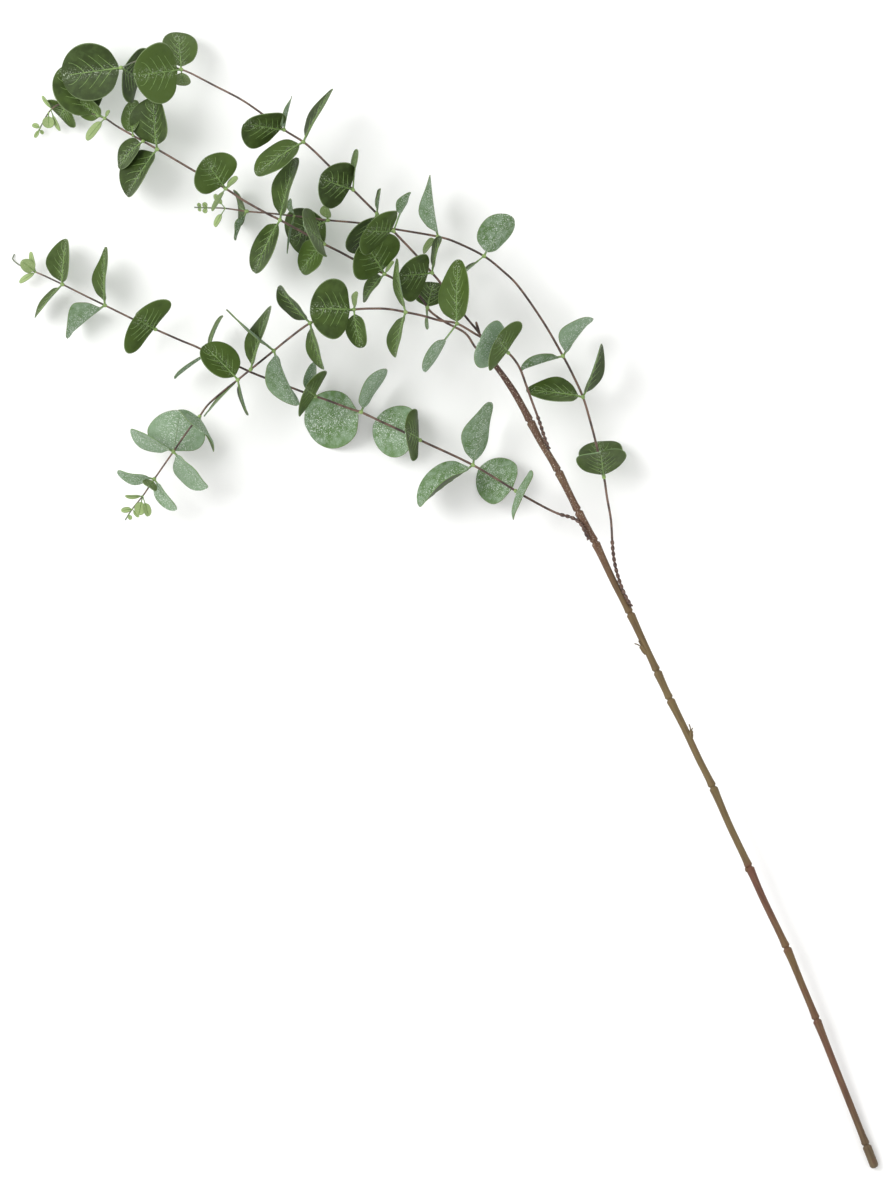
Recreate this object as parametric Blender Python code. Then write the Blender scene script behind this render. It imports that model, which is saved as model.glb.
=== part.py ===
"""Artificial eucalyptus branch: a moulded main stem and five leafy wire sprigs, lying down.

+X is the photograph's right, +Y its top and +Z points at the camera, away from the surface
on which the branch lies. Places in the photograph's plane are pixels of the 892 x 1200
picture; heights, widths and thicknesses are millimetres.
"""
import math
from dataclasses import dataclass

import bmesh
import bpy
from mathutils import Matrix, Vector

MM = 0.001
PHOTO_PIXEL = 0.8 * MM
DATUM_PX = (446.0, 600.0)

STEM_SIDES = 10
STEM_STEP = 24 * MM
TWIG_SIDES = 6
TWIG_STEP = 18 * MM
TWIG_RADIUS = 0.95 * MM
TWIG_TIP_RADIUS = 0.6 * MM
TWIG_TAPER_POWER = 4
COLLAR_RADIUS = 1.5 * MM
COLLAR_HALF_LENGTH = 1.5 * MM
COLLAR_TAPER = 1.25
WRAP_THICKENING = 1.35
SHORTEST_RUN = 0.35 * MM

BLADE_THICKNESS = 0.8 * MM
LARGEST_LIFT = 60 * MM
LIFT_HALVINGS = 30
PETIOLE_WIDTH = 1.5 * MM
PETIOLE_END_SHARE = 0.75
NECK_SHARE = 0.2
STALK_LIMIT = 0.45
BLADE_STATIONS = (0.05, 0.25, 0.5, 0.78, 1.0)
SMALL_WIDTH = 12.5
SMALL_BLADE_STATIONS = (0.2, 0.6, 1.0)
SHOULDER = 0.72
SHOULDER_REACH = 0.12
TAPER_FROM = 0.3
TIP_WIDTH_SHARE = 0.22
CUP_POWER = 1.7


@dataclass(frozen=True)
class Leaf:
    """One blade: its node and tip in photo pixels, the tip's height over the node, its width.

    roll turns the blade about its own length: 0 shows the upper face to the camera, 180 the
    underside, and 90 or -90 stands it on edge with its upper face to the right or the left.
    trough is the slope of its raised halves in degrees, taper how pointed it is from 0 to 1,
    stalk the petiole's length, and bow the share of the length by which the tip bends back.
    A pressed blade lies on the surface.
    """

    node: tuple[float, float]
    tip: tuple[float, float]
    rise: float
    width: float
    roll: float
    trough: float = 13.0
    taper: float = 0.0
    stalk: float = 4.0
    bow: float = 0.07
    pressed: bool = False


@dataclass(frozen=True)
class Stub:
    """A broken-off twig: its root and end as (x px, y px, height mm), and two radii in mm."""

    root: tuple[float, float, float]
    end: tuple[float, float, float]
    root_radius: float
    end_radius: float


@dataclass(frozen=True)
class Sprig:
    """A wire twig through (x px, y px, height mm), its wrapped length, leaves and stubs."""

    name: str
    color: tuple[float, float, float, float]
    route: tuple[tuple[float, float, float], ...]
    wrapped_length: float
    leaves: tuple[Leaf, ...]
    stubs: tuple[Stub, ...] = ()


MAIN_ROUTE = (
    (876, 1169, 3.35), (867, 1146, 5.2), (842, 1083, 9.0), (817, 1020, 12.5),
    (802, 984, 14.5), (787, 948, 16.5), (764, 900, 19.0), (749, 866, 21.0),
    (730, 826, 23.5), (713, 787, 26.0), (699, 759, 27.5), (684, 727, 29.5),
    (670, 699, 31.0), (657, 671, 33.0), (643, 641, 35.0), (630, 613, 37.0),
    (613, 580, 39.0), (595, 542, 41.5), (578, 511, 43.5), (558, 471, 46.0),
    (541, 442, 48.0), (530, 421, 49.5), (517, 397, 51.0), (506, 380, 52.0), (495, 365, 53.0),
)
MAIN_RADIUS = 2.75 * MM
MAIN_CUT_RADIUS = 3.5 * MM
MAIN_CUT_LENGTH = 22 * MM
MAIN_RING_RADIUS = 3.5 * MM
MAIN_RING_HALF_LENGTH = 2.4 * MM
MAIN_RING_CREST = 0.4
MAIN_RINGS = (
    (867, 1146), (817, 1020), (787, 948), (750, 867), (713, 787), (670, 699), (657, 671),
    (630, 613), (595, 542), (578, 511), (558, 471), (530, 421),
)
STUB_SWELL = 0.55
STUB_NECK = 0.75
MAIN_STUBS = (
    Stub((647, 653, 34.2), (641, 645.5, 36.0), 2.7, 2.1),
    Stub((690, 740, 28.8), (691.4, 730.5, 30.0), 2.4, 1.7),
    Stub((751, 869, 21.0), (745.6, 870.2, 22.0), 2.2, 1.9),
)

SPRIG_A = Sprig(
    name="sprig_right_arch",
    color=(0.16, 0.22, 0.12, 1.0),
    route=(
        (631.5, 606.5, 40.6), (624.5, 594, 41.2), (618.5, 578, 41.2), (614.5, 562, 41.2),
        (612.5, 545, 40.5),
        (611, 520, 39.0), (607, 497, 38.0), (604, 477, 37.5), (596, 443, 37.5), (590, 420, 37.5),
        (583, 397, 38.0), (573, 375, 38.0), (563, 356, 38.0), (544, 323, 38.0),
        (519, 287, 38.0), (503, 271, 38.0), (484, 256, 38.0), (458, 243, 38.0),
        (438, 236.5, 37.5), (395, 229, 37.0), (360, 223, 36.0), (328, 220, 34.0),
        (305, 217, 32.5), (269, 213, 30.0), (246.5, 211, 28.5), (225, 208, 26.5),
        (209, 207.5, 25.0), (194, 207, 23.5),
    ),
    wrapped_length=58 * MM,
    leaves=(
        Leaf((604, 475), (599.5, 438), -50, 35, 0),
        Leaf((604, 477), (600, 449), 33, 40, 180),
        Leaf((583, 397), (527, 387), 4, 34, 54, taper=0.35),
        Leaf((583, 397), (605, 345), 2, 36, 76, 14, taper=0.35),
        Leaf((563, 356), (589.5, 316), 3, 38, -110, 22, taper=0.15),
        Leaf((563, 356), (520, 367), 0, 34, 98, 16),
        Leaf((484, 256), (508, 214), 4, 38, -130),
        Leaf((484, 256), (453, 280), -6, 16, 85, stalk=8),
        Leaf((438, 236), (426, 175), 3, 34, -105, 27, taper=0.6),
        Leaf((438, 236), (422, 251), -8, 12, 60),
        Leaf((328, 220), (286, 240), -50, 40, 0),
        Leaf((328, 220), (325, 206), 5, 12, -50, stalk=2),
        Leaf((294, 216), (289, 199), 0, 14, -105, stalk=2),
        Leaf((294, 216), (284.5, 253), -2, 16, 92, 6),
        Leaf((246.5, 211), (235, 204), -28, 30, -40),
        Leaf((246.5, 211), (233, 239), -2, 24, 100, taper=0.5),
        Leaf((225, 208), (214, 194.5), 4, 5, -30, stalk=5),
        Leaf((225, 208), (213.5, 226), -4, 6, 40, stalk=6),
        Leaf((207, 207.4), (203, 202.5), 2, 3.6, 0, stalk=1),
        Leaf((207, 207.4), (203.3, 212.3), -1, 3.6, 0, stalk=1),
        Leaf((201, 207.2), (197.5, 203), 2, 2.6, 0, stalk=1),
        Leaf((201, 207.2), (198.3, 210.5), -1, 2.6, 0, stalk=1),
    ),
)

SPRIG_B = Sprig(
    name="sprig_top",
    color=(0.19, 0.25, 0.12, 1.0),
    route=(
        (496.3, 363.3, 53.3), (488.5, 349, 54.0), (479, 333, 54.5), (465, 316, 55.5),
        (442, 285, 57.0), (432, 273, 57.5), (415, 254, 58.5), (395, 233, 59.5),
        (377, 214, 60.0), (353, 190, 60.5), (332, 169, 60.5), (307, 145, 60.0),
        (284, 130, 58.5), (258, 111, 56.5), (240, 99, 55.0), (215, 86, 52.5),
        (190, 73, 50.0), (178, 68.5, 48.5), (160, 62, 47.0), (141, 60, 45.0), (120, 68, 43.0),
    ),
    wrapped_length=20 * MM,
    leaves=(
        Leaf((432, 273), (400, 277), 16, 44, -35),
        Leaf((432, 273), (438.5, 237), 10, 26, -80, 10),
        Leaf((394, 231), (368, 232), 26, 46, -42, 4),
        Leaf((394, 231), (407.5, 191), 8, 20, -112, stalk=16),
        Leaf((377, 214), (379, 189), 4, 20, -88),
        Leaf((377, 214), (357, 256), -26, 33, -30),
        Leaf((353, 190), (322, 180), 26, 40, -10),
        Leaf((353, 190), (355, 151), 16, 20, -80, 10, stalk=12),
        Leaf((303, 143), (329, 88), 0, 31, -76, taper=0.5),
        Leaf((303, 143), (253, 172), -3, 31, 50, 8),
        Leaf((284, 130), (247, 126), 28, 40, -42),
        Leaf((284, 130), (289, 98), 18, 22, -100, 10),
        Leaf((181, 70), (136.5, 77), 26, 49, -8),
        Leaf((181, 70), (178, 29), -34, 28, 10),
        Leaf((181, 70), (183, 87), -14, 13, 10),
        Leaf((121, 68), (61, 76), -8, 46, 0, stalk=1.5),
        Leaf((121, 68), (142, 80), -27, 46, -14),
    ),
    stubs=(Stub((479, 333, 54.5), (476, 322, 58.0), 1.3, 0.9),),
)

SPRIG_C = Sprig(
    name="sprig_middle",
    color=(0.22, 0.28, 0.14, 1.0),
    route=(
        (492.6, 365.3, 53.0), (485, 357, 51.5), (475, 347, 50.0), (465, 333, 48.5),
        (445, 322, 47.5), (430, 311, 47.0), (422, 299, 46.5), (412, 289, 46.5),
        (400, 282, 46.5), (384.5, 274, 46.5), (355, 260, 46.5), (340, 252, 46.5),
        (324, 244, 46.5), (306, 234, 46.0), (280, 220, 45.5), (266, 213, 45.0),
        (243, 200, 44.0), (225.5, 188.5, 43.0), (197, 172.5, 41.5), (157, 149, 37.5),
        (120, 128, 33.5), (104.6, 118, 31.0), (86, 111, 27.5), (66, 103, 23.0),
        (54, 106, 19.0), (46, 115, 15.0), (38, 130, 9.0),
    ),
    wrapped_length=20 * MM,
    leaves=(
        Leaf((427, 308), (433, 281), -14, 27, -12, stalk=1.5),
        Leaf((427, 308), (426, 327), -18, 14, 90),
        Leaf((384.5, 274), (365, 242), 17, 47, 18),
        Leaf((384.5, 274), (361, 299), -12, 24, 66),
        Leaf((384.5, 274), (393, 261), 4, 6, -60, stalk=2),
        Leaf((324, 244), (307, 225), 32, 45, 68, 6),
        Leaf((324, 244), (299, 270), -8, 32, 48, 9, stalk=1.5),
        Leaf((280, 220), (293, 157), 6, 40, -66, 16, taper=0.35),
        Leaf((280, 220), (251, 271), -6, 36, 60, 8),
        Leaf((225.5, 188.5), (205, 160), 18, 39, 8),
        Leaf((225.5, 188.5), (237, 177), 6, 9, -60, stalk=2),
        Leaf((225.5, 188.5), (211, 210), -6, 7, 120, stalk=3),
        Leaf((157, 149), (151, 98), 5, 44, -48, 18),
        Leaf((157, 149), (124, 194), -5, 46, 62, 18),
        Leaf((143, 141), (115, 163), -25, 22, 40),
        Leaf((133, 135), (130, 98), -22, 18, -30),
        Leaf((104.6, 118), (85, 139), -4, 9, 40),
        Leaf((104.6, 118), (109, 110), 2, 5, -60, stalk=2),
        Leaf((104.6, 118), (79, 102), 0, 22, -45),
        Leaf((98, 115), (60, 67), -2, 37, 0),
        Leaf((68, 104), (58, 117), -14, 31, 7),
        Leaf((51, 108), (41, 95.5), 1, 3.5, -40, stalk=2),
        Leaf((48, 112), (48, 127.5), -1, 9.5, 10, stalk=3),
        Leaf((50, 109), (58, 130.5), -3, 5, 50, stalk=5),
        Leaf((39.5, 127), (31.5, 123.5), -1, 4, 20, stalk=1),
        Leaf((38.6, 129), (34, 137), -1, 2.8, 0, stalk=1),
        Leaf((38.6, 129), (43, 133), -1, 2.6, -20, stalk=1),
    ),
)

SPRIG_D = Sprig(
    name="sprig_lower_left",
    color=(0.15, 0.21, 0.11, 1.0),
    route=(
        (588.8, 539.5, 46.0), (585.2, 532, 46.8), (580.5, 523.5, 46.6), (574, 518.6, 44.6),
        (567, 516.2, 42.6), (559, 514, 41.0), (546, 508, 39.5),
        (526, 497, 37.0), (516, 491, 36.0), (473, 465, 34.0), (420, 440, 32.0),
        (404, 432, 31.5), (378, 420, 31.0), (361, 412, 30.5), (351, 409, 30.5),
        (327, 400, 30.0), (306, 393, 30.0), (290, 387, 30.0), (276, 382, 30.0),
        (253, 373, 30.0), (241, 367.5, 30.0), (212, 355, 30.0), (197, 347, 30.0),
        (180, 340, 29.5), (155, 329, 29.0), (133, 319, 28.0), (104.5, 305, 27.0),
        (86, 296, 25.5), (62, 284, 22.0), (43, 275, 17.0), (29, 269, 11.5),
        (18, 264, 6.0), (11.5, 258, 2.5), (13.5, 253.5, 1.2),
    ),
    wrapped_length=26 * MM,
    leaves=(
        Leaf((516, 491), (481.5, 470.5), -50, 38, 180, stalk=6),
        Leaf((516, 491), (525, 497.5), 28, 42, -166, 5),
        Leaf((473, 465), (486, 401), 3, 42, -120, 12, taper=0.35),
        Leaf((473, 465), (416, 502), -2, 44, 70, 25),
        Leaf((420, 440), (376, 422.5), -20, 42, 180),
        Leaf((420, 440), (408, 431), 30, 42, 37, 4),
        Leaf((361, 412), (309, 425), -44, 46, 180, 0, pressed=True),
        Leaf((361, 412), (382.5, 367), 8, 32, -112, 10),
        Leaf((315, 396.5), (308, 391), 36, 42, 8, 4),
        Leaf((315, 396.5), (310.3, 363), 6, 30, -112, taper=0.3),
        Leaf((207.5, 354), (214.5, 315), 4, 22, -84, 10, bow=0.2),
        Leaf((207.5, 354), (172, 377), -3, 20, 96, 8),
        Leaf((155, 329), (135.5, 318), 18, 54, -12, stalk=1.5),
        Leaf((104.5, 305), (102, 247), 4, 36, -70, 18, taper=0.7),
        Leaf((104.5, 305), (64, 334.5), -3, 46, 104, 28, taper=0.5),
        Leaf((62, 284), (63.5, 238.5), 3, 38, -60, 20, taper=0.3, stalk=2),
        Leaf((62, 284), (32, 315.5), -4, 21, 76, 14, taper=0.2),
        Leaf((35, 272), (21, 261), 4, 10, 0, stalk=2),
        Leaf((35, 272), (29, 252), 3, 6, -50),
        Leaf((35, 272), (18, 282), -2, 5, 30, stalk=2),
    ),
)

SPRIG_E = Sprig(
    name="sprig_front_arch",
    color=(0.17, 0.24, 0.13, 1.0),
    route=(
        (549, 449, 51.2), (545, 439, 52.6), (539.5, 422, 56.0), (531, 399, 60.5),
        (526, 385, 63.0), (519, 367, 66.0), (508, 353, 69.0), (492, 343.5, 72.0),
        (476.5, 335, 74.5), (457, 324, 77.0), (440, 321, 78.5), (422, 316, 79.5),
        (405.6, 312.6, 80.0), (392, 310, 80.0), (378, 309, 79.5), (354, 310, 78.0),
        (332, 315, 76.0), (310.3, 323.5, 73.5), (290, 338, 71.0), (274, 351, 68.5),
        (251, 369.5, 65.0), (238, 380, 63.0), (225, 390, 60.5), (208, 405, 57.0),
        (198, 419, 54.0), (190, 428, 51.5), (173.4, 451.6, 46.0), (154.2, 479, 39.5),
        (142.5, 496, 35.0), (132, 509, 31.5), (125, 520, 29.0),
    ),
    wrapped_length=30 * MM,
    leaves=(
        Leaf((508, 353), (499.5, 340), 31, 46, 24, 5),
        Leaf((508, 353), (478, 340), 22, 40, 180),
        Leaf((457, 324), (455.5, 260), 0, 37, -45, taper=0.35, stalk=2),
        Leaf((457, 324), (421.5, 370), -3, 23, 113, stalk=16),
        Leaf((405.6, 312.6), (393, 260), 0, 25, -77, 12, taper=0.3),
        Leaf((405.6, 312.6), (392.4, 357), 0, 38, 75),
        Leaf((354, 310), (312, 309), 20, 48, 0),
        Leaf((354, 310), (359.5, 348.5), 0, 26, 52, 6),
        Leaf((354, 310), (356.5, 293), 8, 12, -70, stalk=2),
        Leaf((310.3, 323.5), (277, 288.5), 3, 36, -72, 12),
        Leaf((310.3, 323.5), (320.7, 370.5), 0, 32, 74, 12),
        Leaf((274, 351), (225, 311.5), 0, 40, -89, 3, bow=0.03),
        Leaf((274, 351), (294, 407), 0, 42, 113, 22, taper=0.2),
        Leaf((251, 369.5), (267, 305), 0, 38, -72, 15, taper=0.3),
        Leaf((238, 380), (245.5, 416), -2, 24, 84, 10, taper=0.4),
        Leaf((238, 380), (205, 344), -4, 32, 35),
        Leaf((238, 380), (202, 414), -10, 20, 86, 6),
        Leaf((200, 417), (203, 436), 28, 46, 120),
        Leaf((173.4, 451.6), (179.5, 412.5), -18, 46, 180, stalk=1),
        Leaf((173.4, 451.6), (129.6, 432), 2, 31, -70),
        Leaf((173.4, 451.6), (205, 490), 0, 42, 70),
        Leaf((154.2, 479), (117, 474), 2, 26, -72),
        Leaf((154.2, 479), (173.5, 511.5), 0, 26, 68),
        Leaf((154.2, 479), (148, 488), 14, 13, 180),
        Leaf((142.5, 496), (125, 497), 1, 6, -60, stalk=2),
        Leaf((142.5, 496), (138.5, 515), -2, 9, 15, stalk=5),
        Leaf((142.5, 496), (149, 516), 1, 7, -30, stalk=6),
        Leaf((132, 509), (121, 510.5), 1, 4.2, 0, stalk=1),
        Leaf((132, 509), (138.6, 517), 1, 2.8, 0, stalk=2),
        Leaf((128.5, 514), (130.5, 519.5), 1, 3, 0, stalk=1),
    ),
)

SPRIGS = (SPRIG_A, SPRIG_B, SPRIG_C, SPRIG_D, SPRIG_E)


def place(px, py, height_mm):
    """The point in metres of a photo pixel at a height over the surface."""
    return Vector((
        (px - DATUM_PX[0]) * PHOTO_PIXEL, (DATUM_PX[1] - py) * PHOTO_PIXEL, height_mm * MM
    ))


def smooth_route(points, step):
    """A Catmull-Rom curve through the points, sampled about every step."""
    padded = [2 * points[0] - points[1], *points, 2 * points[-1] - points[-2]]
    samples = [points[0].copy()]
    for before, start, end, after in zip(padded, padded[1:], padded[2:], padded[3:]):
        count = max(1, round((end - start).length / step))
        for index in range(1, count + 1):
            t = index / count
            samples.append(0.5 * (
                2 * start
                + (end - before) * t
                + (2 * before - 5 * start + 4 * end - after) * t ** 2
                + (3 * start - before - 3 * end + after) * t ** 3
            ))
    return samples


def insert_marks(samples, marks, offsets):
    """Add a sample at each offset along the route from the place nearest to each mark."""
    lengths = [0.0]
    for start, end in zip(samples, samples[1:]):
        lengths.append(lengths[-1] + (end - start).length)
    stations = {round(length, 6): point for length, point in zip(lengths, samples)}
    for mark in marks:
        centre = nearest_length(samples, lengths, mark)
        for offset in offsets:
            length = min(max(centre + offset, 0.0), lengths[-1])
            stations[round(length, 6)] = point_at(samples, lengths, length)
    ordered = sorted(stations.items())
    kept = [ordered[0]]
    for station in ordered[1:]:
        if station[0] - kept[-1][0] > SHORTEST_RUN:
            kept.append(station)
    return kept


def nearest_length(samples, lengths, mark):
    """How far along the route lies the place nearest to a mark, seen from above."""
    best_gap, best_length = math.inf, 0.0
    for index, (start, end) in enumerate(zip(samples, samples[1:])):
        run = (end - start).xy
        share = max(0.0, min(1.0, (mark.xy - start.xy).dot(run) / run.length_squared))
        gap = (start.xy + run * share - mark.xy).length
        if gap < best_gap:
            best_gap = gap
            best_length = lengths[index] + share * (lengths[index + 1] - lengths[index])
    return best_length


def point_at(samples, lengths, length):
    """The route's point at a length from its start."""
    for index in range(len(samples) - 1):
        if length <= lengths[index + 1]:
            share = (length - lengths[index]) / (lengths[index + 1] - lengths[index])
            return samples[index].lerp(samples[index + 1], share)
    return samples[-1].copy()


def route_node(samples, px, py):
    """The point of a twig's centre line that lies at a photo pixel."""
    lengths = [0.0]
    for start, end in zip(samples, samples[1:]):
        lengths.append(lengths[-1] + (end - start).length)
    return point_at(samples, lengths, nearest_length(samples, lengths, place(px, py, 0)))


def tube(name, points, radii, sides):
    """A closed tube of rings about the points, turned so that a flat side looks down."""
    bm = bmesh.new()
    rings = []
    for index, (point, radius) in enumerate(zip(points, radii)):
        before = points[max(index - 1, 0)]
        after = points[min(index + 1, len(points) - 1)]
        along = (after - before).normalized()
        across = along.cross(Vector((0, 0, 1))).normalized()
        upward = across.cross(along)
        ring = []
        for side in range(sides):
            angle = math.tau * (side + 0.5) / sides
            outward = across * math.sin(angle) + upward * math.cos(angle)
            ring.append(bm.verts.new(point + outward * radius))
        rings.append(ring)
    for near, far in zip(rings, rings[1:]):
        for side in range(sides):
            following = (side + 1) % sides
            bm.faces.new((near[side], near[following], far[following], far[side]))
    bm.faces.new(rings[0])
    bm.faces.new(rings[-1])
    return finish(bm, name)


def finish(bm, name):
    """Turn the faces outward and make the mesh an object."""
    bmesh.ops.recalc_face_normals(bm, faces=bm.faces)
    mesh = bpy.data.meshes.new(name)
    bm.to_mesh(mesh)
    bm.free()
    item = bpy.data.objects.new(name, mesh)
    bpy.context.scene.collection.objects.link(item)
    return item


def leaf_frame(along, roll_deg):
    """The blade's upper normal and its sideways direction, for its length and its roll."""
    level = Vector((0, 0, 1)) - along.z * along
    normal = Matrix.Rotation(math.radians(roll_deg), 3, along) @ level.normalized()
    return normal, normal.cross(along)


def smoothstep(low, high, value):
    """Ease from 0 at low to 1 at high."""
    share = min(max((value - low) / (high - low), 0.0), 1.0)
    return share * share * (3 - 2 * share)


def half_width(leaf, share):
    """Half the blade's width at a share of its length from the petiole's end."""
    oval = math.sqrt(max(0.0, 1 - (2 * share - 1) ** 2))
    shoulder = SHOULDER + (1 - SHOULDER) * smoothstep(0.0, SHOULDER_REACH, share)
    point = 1 - leaf.taper * smoothstep(TAPER_FROM, 1.0, share)
    blunt = TIP_WIDTH_SHARE * (1 - leaf.taper)
    neck = min(PETIOLE_WIDTH / 2, NECK_SHARE * leaf.width * MM) * (1 - share)
    return max(leaf.width * MM / 2 * max(oval * shoulder * point, blunt), neck)


def leaf_grid(root, leaf, rise):
    """Rows of (left, middle, right) points on the blade's middle surface, and its normal."""
    tip = place(*leaf.tip, 0) - place(*leaf.node, 0)
    span = Vector((tip.x, tip.y, rise))
    length = span.length
    along = span.normalized()
    normal, sideways = leaf_frame(along, leaf.roll)
    petiole = min(leaf.stalk * MM, STALK_LIMIT * length)
    petiole_half = min(PETIOLE_WIDTH / 2, NECK_SHARE * leaf.width * MM)
    widest = leaf.width * MM / 2
    slope = math.tan(math.radians(leaf.trough))
    rows = [(0.0, petiole_half), (PETIOLE_END_SHARE * petiole, petiole_half)]
    for share in BLADE_STATIONS if leaf.width > SMALL_WIDTH else SMALL_BLADE_STATIONS:
        rows.append((petiole + share * (length - petiole), half_width(leaf, share)))
    grid = []
    for distance, half in rows:
        centre = root + along * distance - normal * (leaf.bow * length * (distance / length) ** 2)
        edge_lift = normal * (widest * (half / widest) ** CUP_POWER * slope)
        grid.append((centre - sideways * half + edge_lift, centre, centre + sideways * half + edge_lift))
    return grid, normal


def leaf_rise(root, leaf):
    """The tip's height over the node, raised where the blade would reach under the surface."""
    def lowest(rise):
        grid, normal = leaf_grid(root, leaf, rise)
        return min(point.z for row in grid for point in row) - abs(normal.z) * BLADE_THICKNESS / 2

    rise = leaf.rise * MM
    if leaf.pressed or lowest(rise) >= 0:
        return rise
    low, high = rise, rise + LARGEST_LIFT
    for _ in range(LIFT_HALVINGS):
        middle = (low + high) / 2
        if lowest(middle) < 0:
            low = middle
        else:
            high = middle
    return high


def leaf_solid(name, root, leaf):
    """A thin closed blade from inside its twig out to its tip."""
    grid, normal = leaf_grid(root, leaf, leaf_rise(root, leaf))
    bm = bmesh.new()
    half = normal * (BLADE_THICKNESS / 2)
    upper = [[bm.verts.new(point + half) for point in row] for row in grid]
    under = [[bm.verts.new(point - half) for point in row] for row in grid]
    if leaf.pressed:
        low_face = under if normal.z > 0 else upper
        top_face = upper if normal.z > 0 else under
        for row in low_face:
            for vertex in row:
                vertex.co.z = max(vertex.co.z, 0.0)
        for row in top_face:
            for vertex in row:
                vertex.co.z = max(vertex.co.z, BLADE_THICKNESS)
    for face in (upper, under):
        for near, far in zip(face, face[1:]):
            bm.faces.new((near[0], near[1], far[0]))
            bm.faces.new((near[1], far[1], far[0]))
            bm.faces.new((near[1], near[2], far[2]))
            bm.faces.new((near[1], far[2], far[1]))
    for (top_near, top_far), (low_near, low_far) in zip(zip(upper, upper[1:]), zip(under, under[1:])):
        for side in (0, 2):
            bm.faces.new((top_near[side], top_far[side], low_far[side], low_near[side]))
    for row in (0, -1):
        for left, right in ((0, 1), (1, 2)):
            bm.faces.new((upper[row][left], upper[row][right], under[row][right], under[row][left]))
    return finish(bm, name)


def fuse(body, pieces):
    """Join the pieces to the body in one Boolean union, and remove them."""
    group = bpy.data.collections.new(body.name + "_pieces")
    bpy.context.scene.collection.children.link(group)
    for piece in pieces:
        bpy.context.scene.collection.objects.unlink(piece)
        group.objects.link(piece)
    union = body.modifiers.new("union", "BOOLEAN")
    union.operation = "UNION"
    union.operand_type = "COLLECTION"
    union.collection = group
    union.solver = "EXACT"
    bpy.context.view_layer.update()
    graph = bpy.context.evaluated_depsgraph_get()
    fused = bpy.data.meshes.new_from_object(body.evaluated_get(graph))
    body.modifiers.remove(union)
    body.data = fused
    fused.name = body.name
    for piece in pieces:
        bpy.data.objects.remove(piece)
    bpy.data.collections.remove(group)


def material(name, color, roughness):
    """A plain plastic material."""
    plain = bpy.data.materials.new(name)
    plain.use_nodes = True
    shader = plain.node_tree.nodes["Principled BSDF"]
    shader.inputs["Base Color"].default_value = color
    shader.inputs["Roughness"].default_value = roughness
    shader.inputs["Metallic"].default_value = 0.0
    return plain


def dress(item, plain):
    """Give the object its one material and smooth round faces."""
    item.data.materials.clear()
    item.data.materials.append(plain)
    item.data.shade_smooth()
    item.data.set_sharp_from_angle(angle=math.radians(40))


def stub_tube(stub, name, sides):
    """A short twig that narrows from a swollen root to its broken end."""
    root, end = place(*stub.root), place(*stub.end)
    points = [root, root.lerp(end, STUB_SWELL), root.lerp(end, STUB_NECK), end]
    radii = [stub.root_radius * MM, stub.root_radius * MM, stub.end_radius * MM, stub.end_radius * MM]
    return tube(name, points, radii, sides)


def main_stem():
    """The moulded stem with its node rings, broken stubs and bud nub."""
    samples = smooth_route([place(*point) for point in MAIN_ROUTE], STEM_STEP)
    rings = [place(*ring, 0) for ring in MAIN_RINGS]
    reach = MAIN_RING_HALF_LENGTH
    crest = MAIN_RING_CREST * reach
    stations = insert_marks(samples, rings, (-reach, -crest, crest, reach))
    lengths = [length for length, _ in stations]
    points = [point for _, point in stations]
    centres = [nearest_length(points, lengths, ring) for ring in rings]
    radii = []
    for length in lengths:
        flare = max(0.0, 1 - length / MAIN_CUT_LENGTH)
        radius = MAIN_RADIUS + (MAIN_CUT_RADIUS - MAIN_RADIUS) * flare
        if min(abs(length - centre) for centre in centres) < (1 + MAIN_RING_CREST) / 2 * reach:
            radius = max(radius, MAIN_RING_RADIUS)
        radii.append(radius)
    stem = tube("main_stem", points, radii, STEM_SIDES)
    fuse(stem, [stub_tube(stub, "stub", 8) for stub in MAIN_STUBS])
    return stem


def twig(sprig, samples):
    """The sprig's wire with a collar at each pair of leaves and a thicker wrapped base."""
    nodes = [place(*leaf.node, 0) for leaf in sprig.leaves]
    reach = COLLAR_HALF_LENGTH
    taper = COLLAR_TAPER * reach
    stations = insert_marks(samples, nodes, (-taper, -reach, reach, taper))
    lengths = [length for length, _ in stations]
    points = [point for _, point in stations]
    centres = [nearest_length(points, lengths, node) for node in nodes]
    radii = []
    for length in lengths:
        share = length / lengths[-1]
        radius = TWIG_RADIUS + (TWIG_TIP_RADIUS - TWIG_RADIUS) * share ** TWIG_TAPER_POWER
        if length < sprig.wrapped_length:
            radius *= WRAP_THICKENING
        if min(abs(length - centre) for centre in centres) < (1 + COLLAR_TAPER) / 2 * reach:
            radius += COLLAR_RADIUS - TWIG_RADIUS
        radii.append(radius)
    return tube(sprig.name, points, radii, TWIG_SIDES)


def leafy_sprig(sprig):
    """A twig with its leaves fused to it."""
    samples = smooth_route([place(*point) for point in sprig.route], TWIG_STEP)
    body = twig(sprig, samples)
    pieces = [stub_tube(stub, "stub", TWIG_SIDES) for stub in sprig.stubs]
    for number, leaf in enumerate(sprig.leaves):
        pieces.append(leaf_solid(f"leaf_{number:02d}", route_node(samples, *leaf.node), leaf))
    fuse(body, pieces)
    return body


def main():
    """Build the branch."""
    for item in list(bpy.data.objects):
        bpy.data.objects.remove(item)
    dress(main_stem(), material("stem_plastic", (0.20, 0.13, 0.07, 1.0), 0.55))
    for sprig in SPRIGS:
        dress(leafy_sprig(sprig), material(sprig.name + "_plastic", sprig.color, 0.5))


main()
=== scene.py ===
"""Looks of an artificial eucalyptus branch: moulded stem, five wire sprigs and their leaves.

+X is the photograph's right, +Y its top and +Z points at the camera. Places in the
photograph's plane are pixels of the 892 x 1200 picture, and heights are millimetres.
"""
import logging
import math
import random
from collections.abc import Iterable, Sequence
from dataclasses import dataclass, field
from enum import Enum
from typing import Any

import bpy
from mathutils import Matrix, Vector


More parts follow.
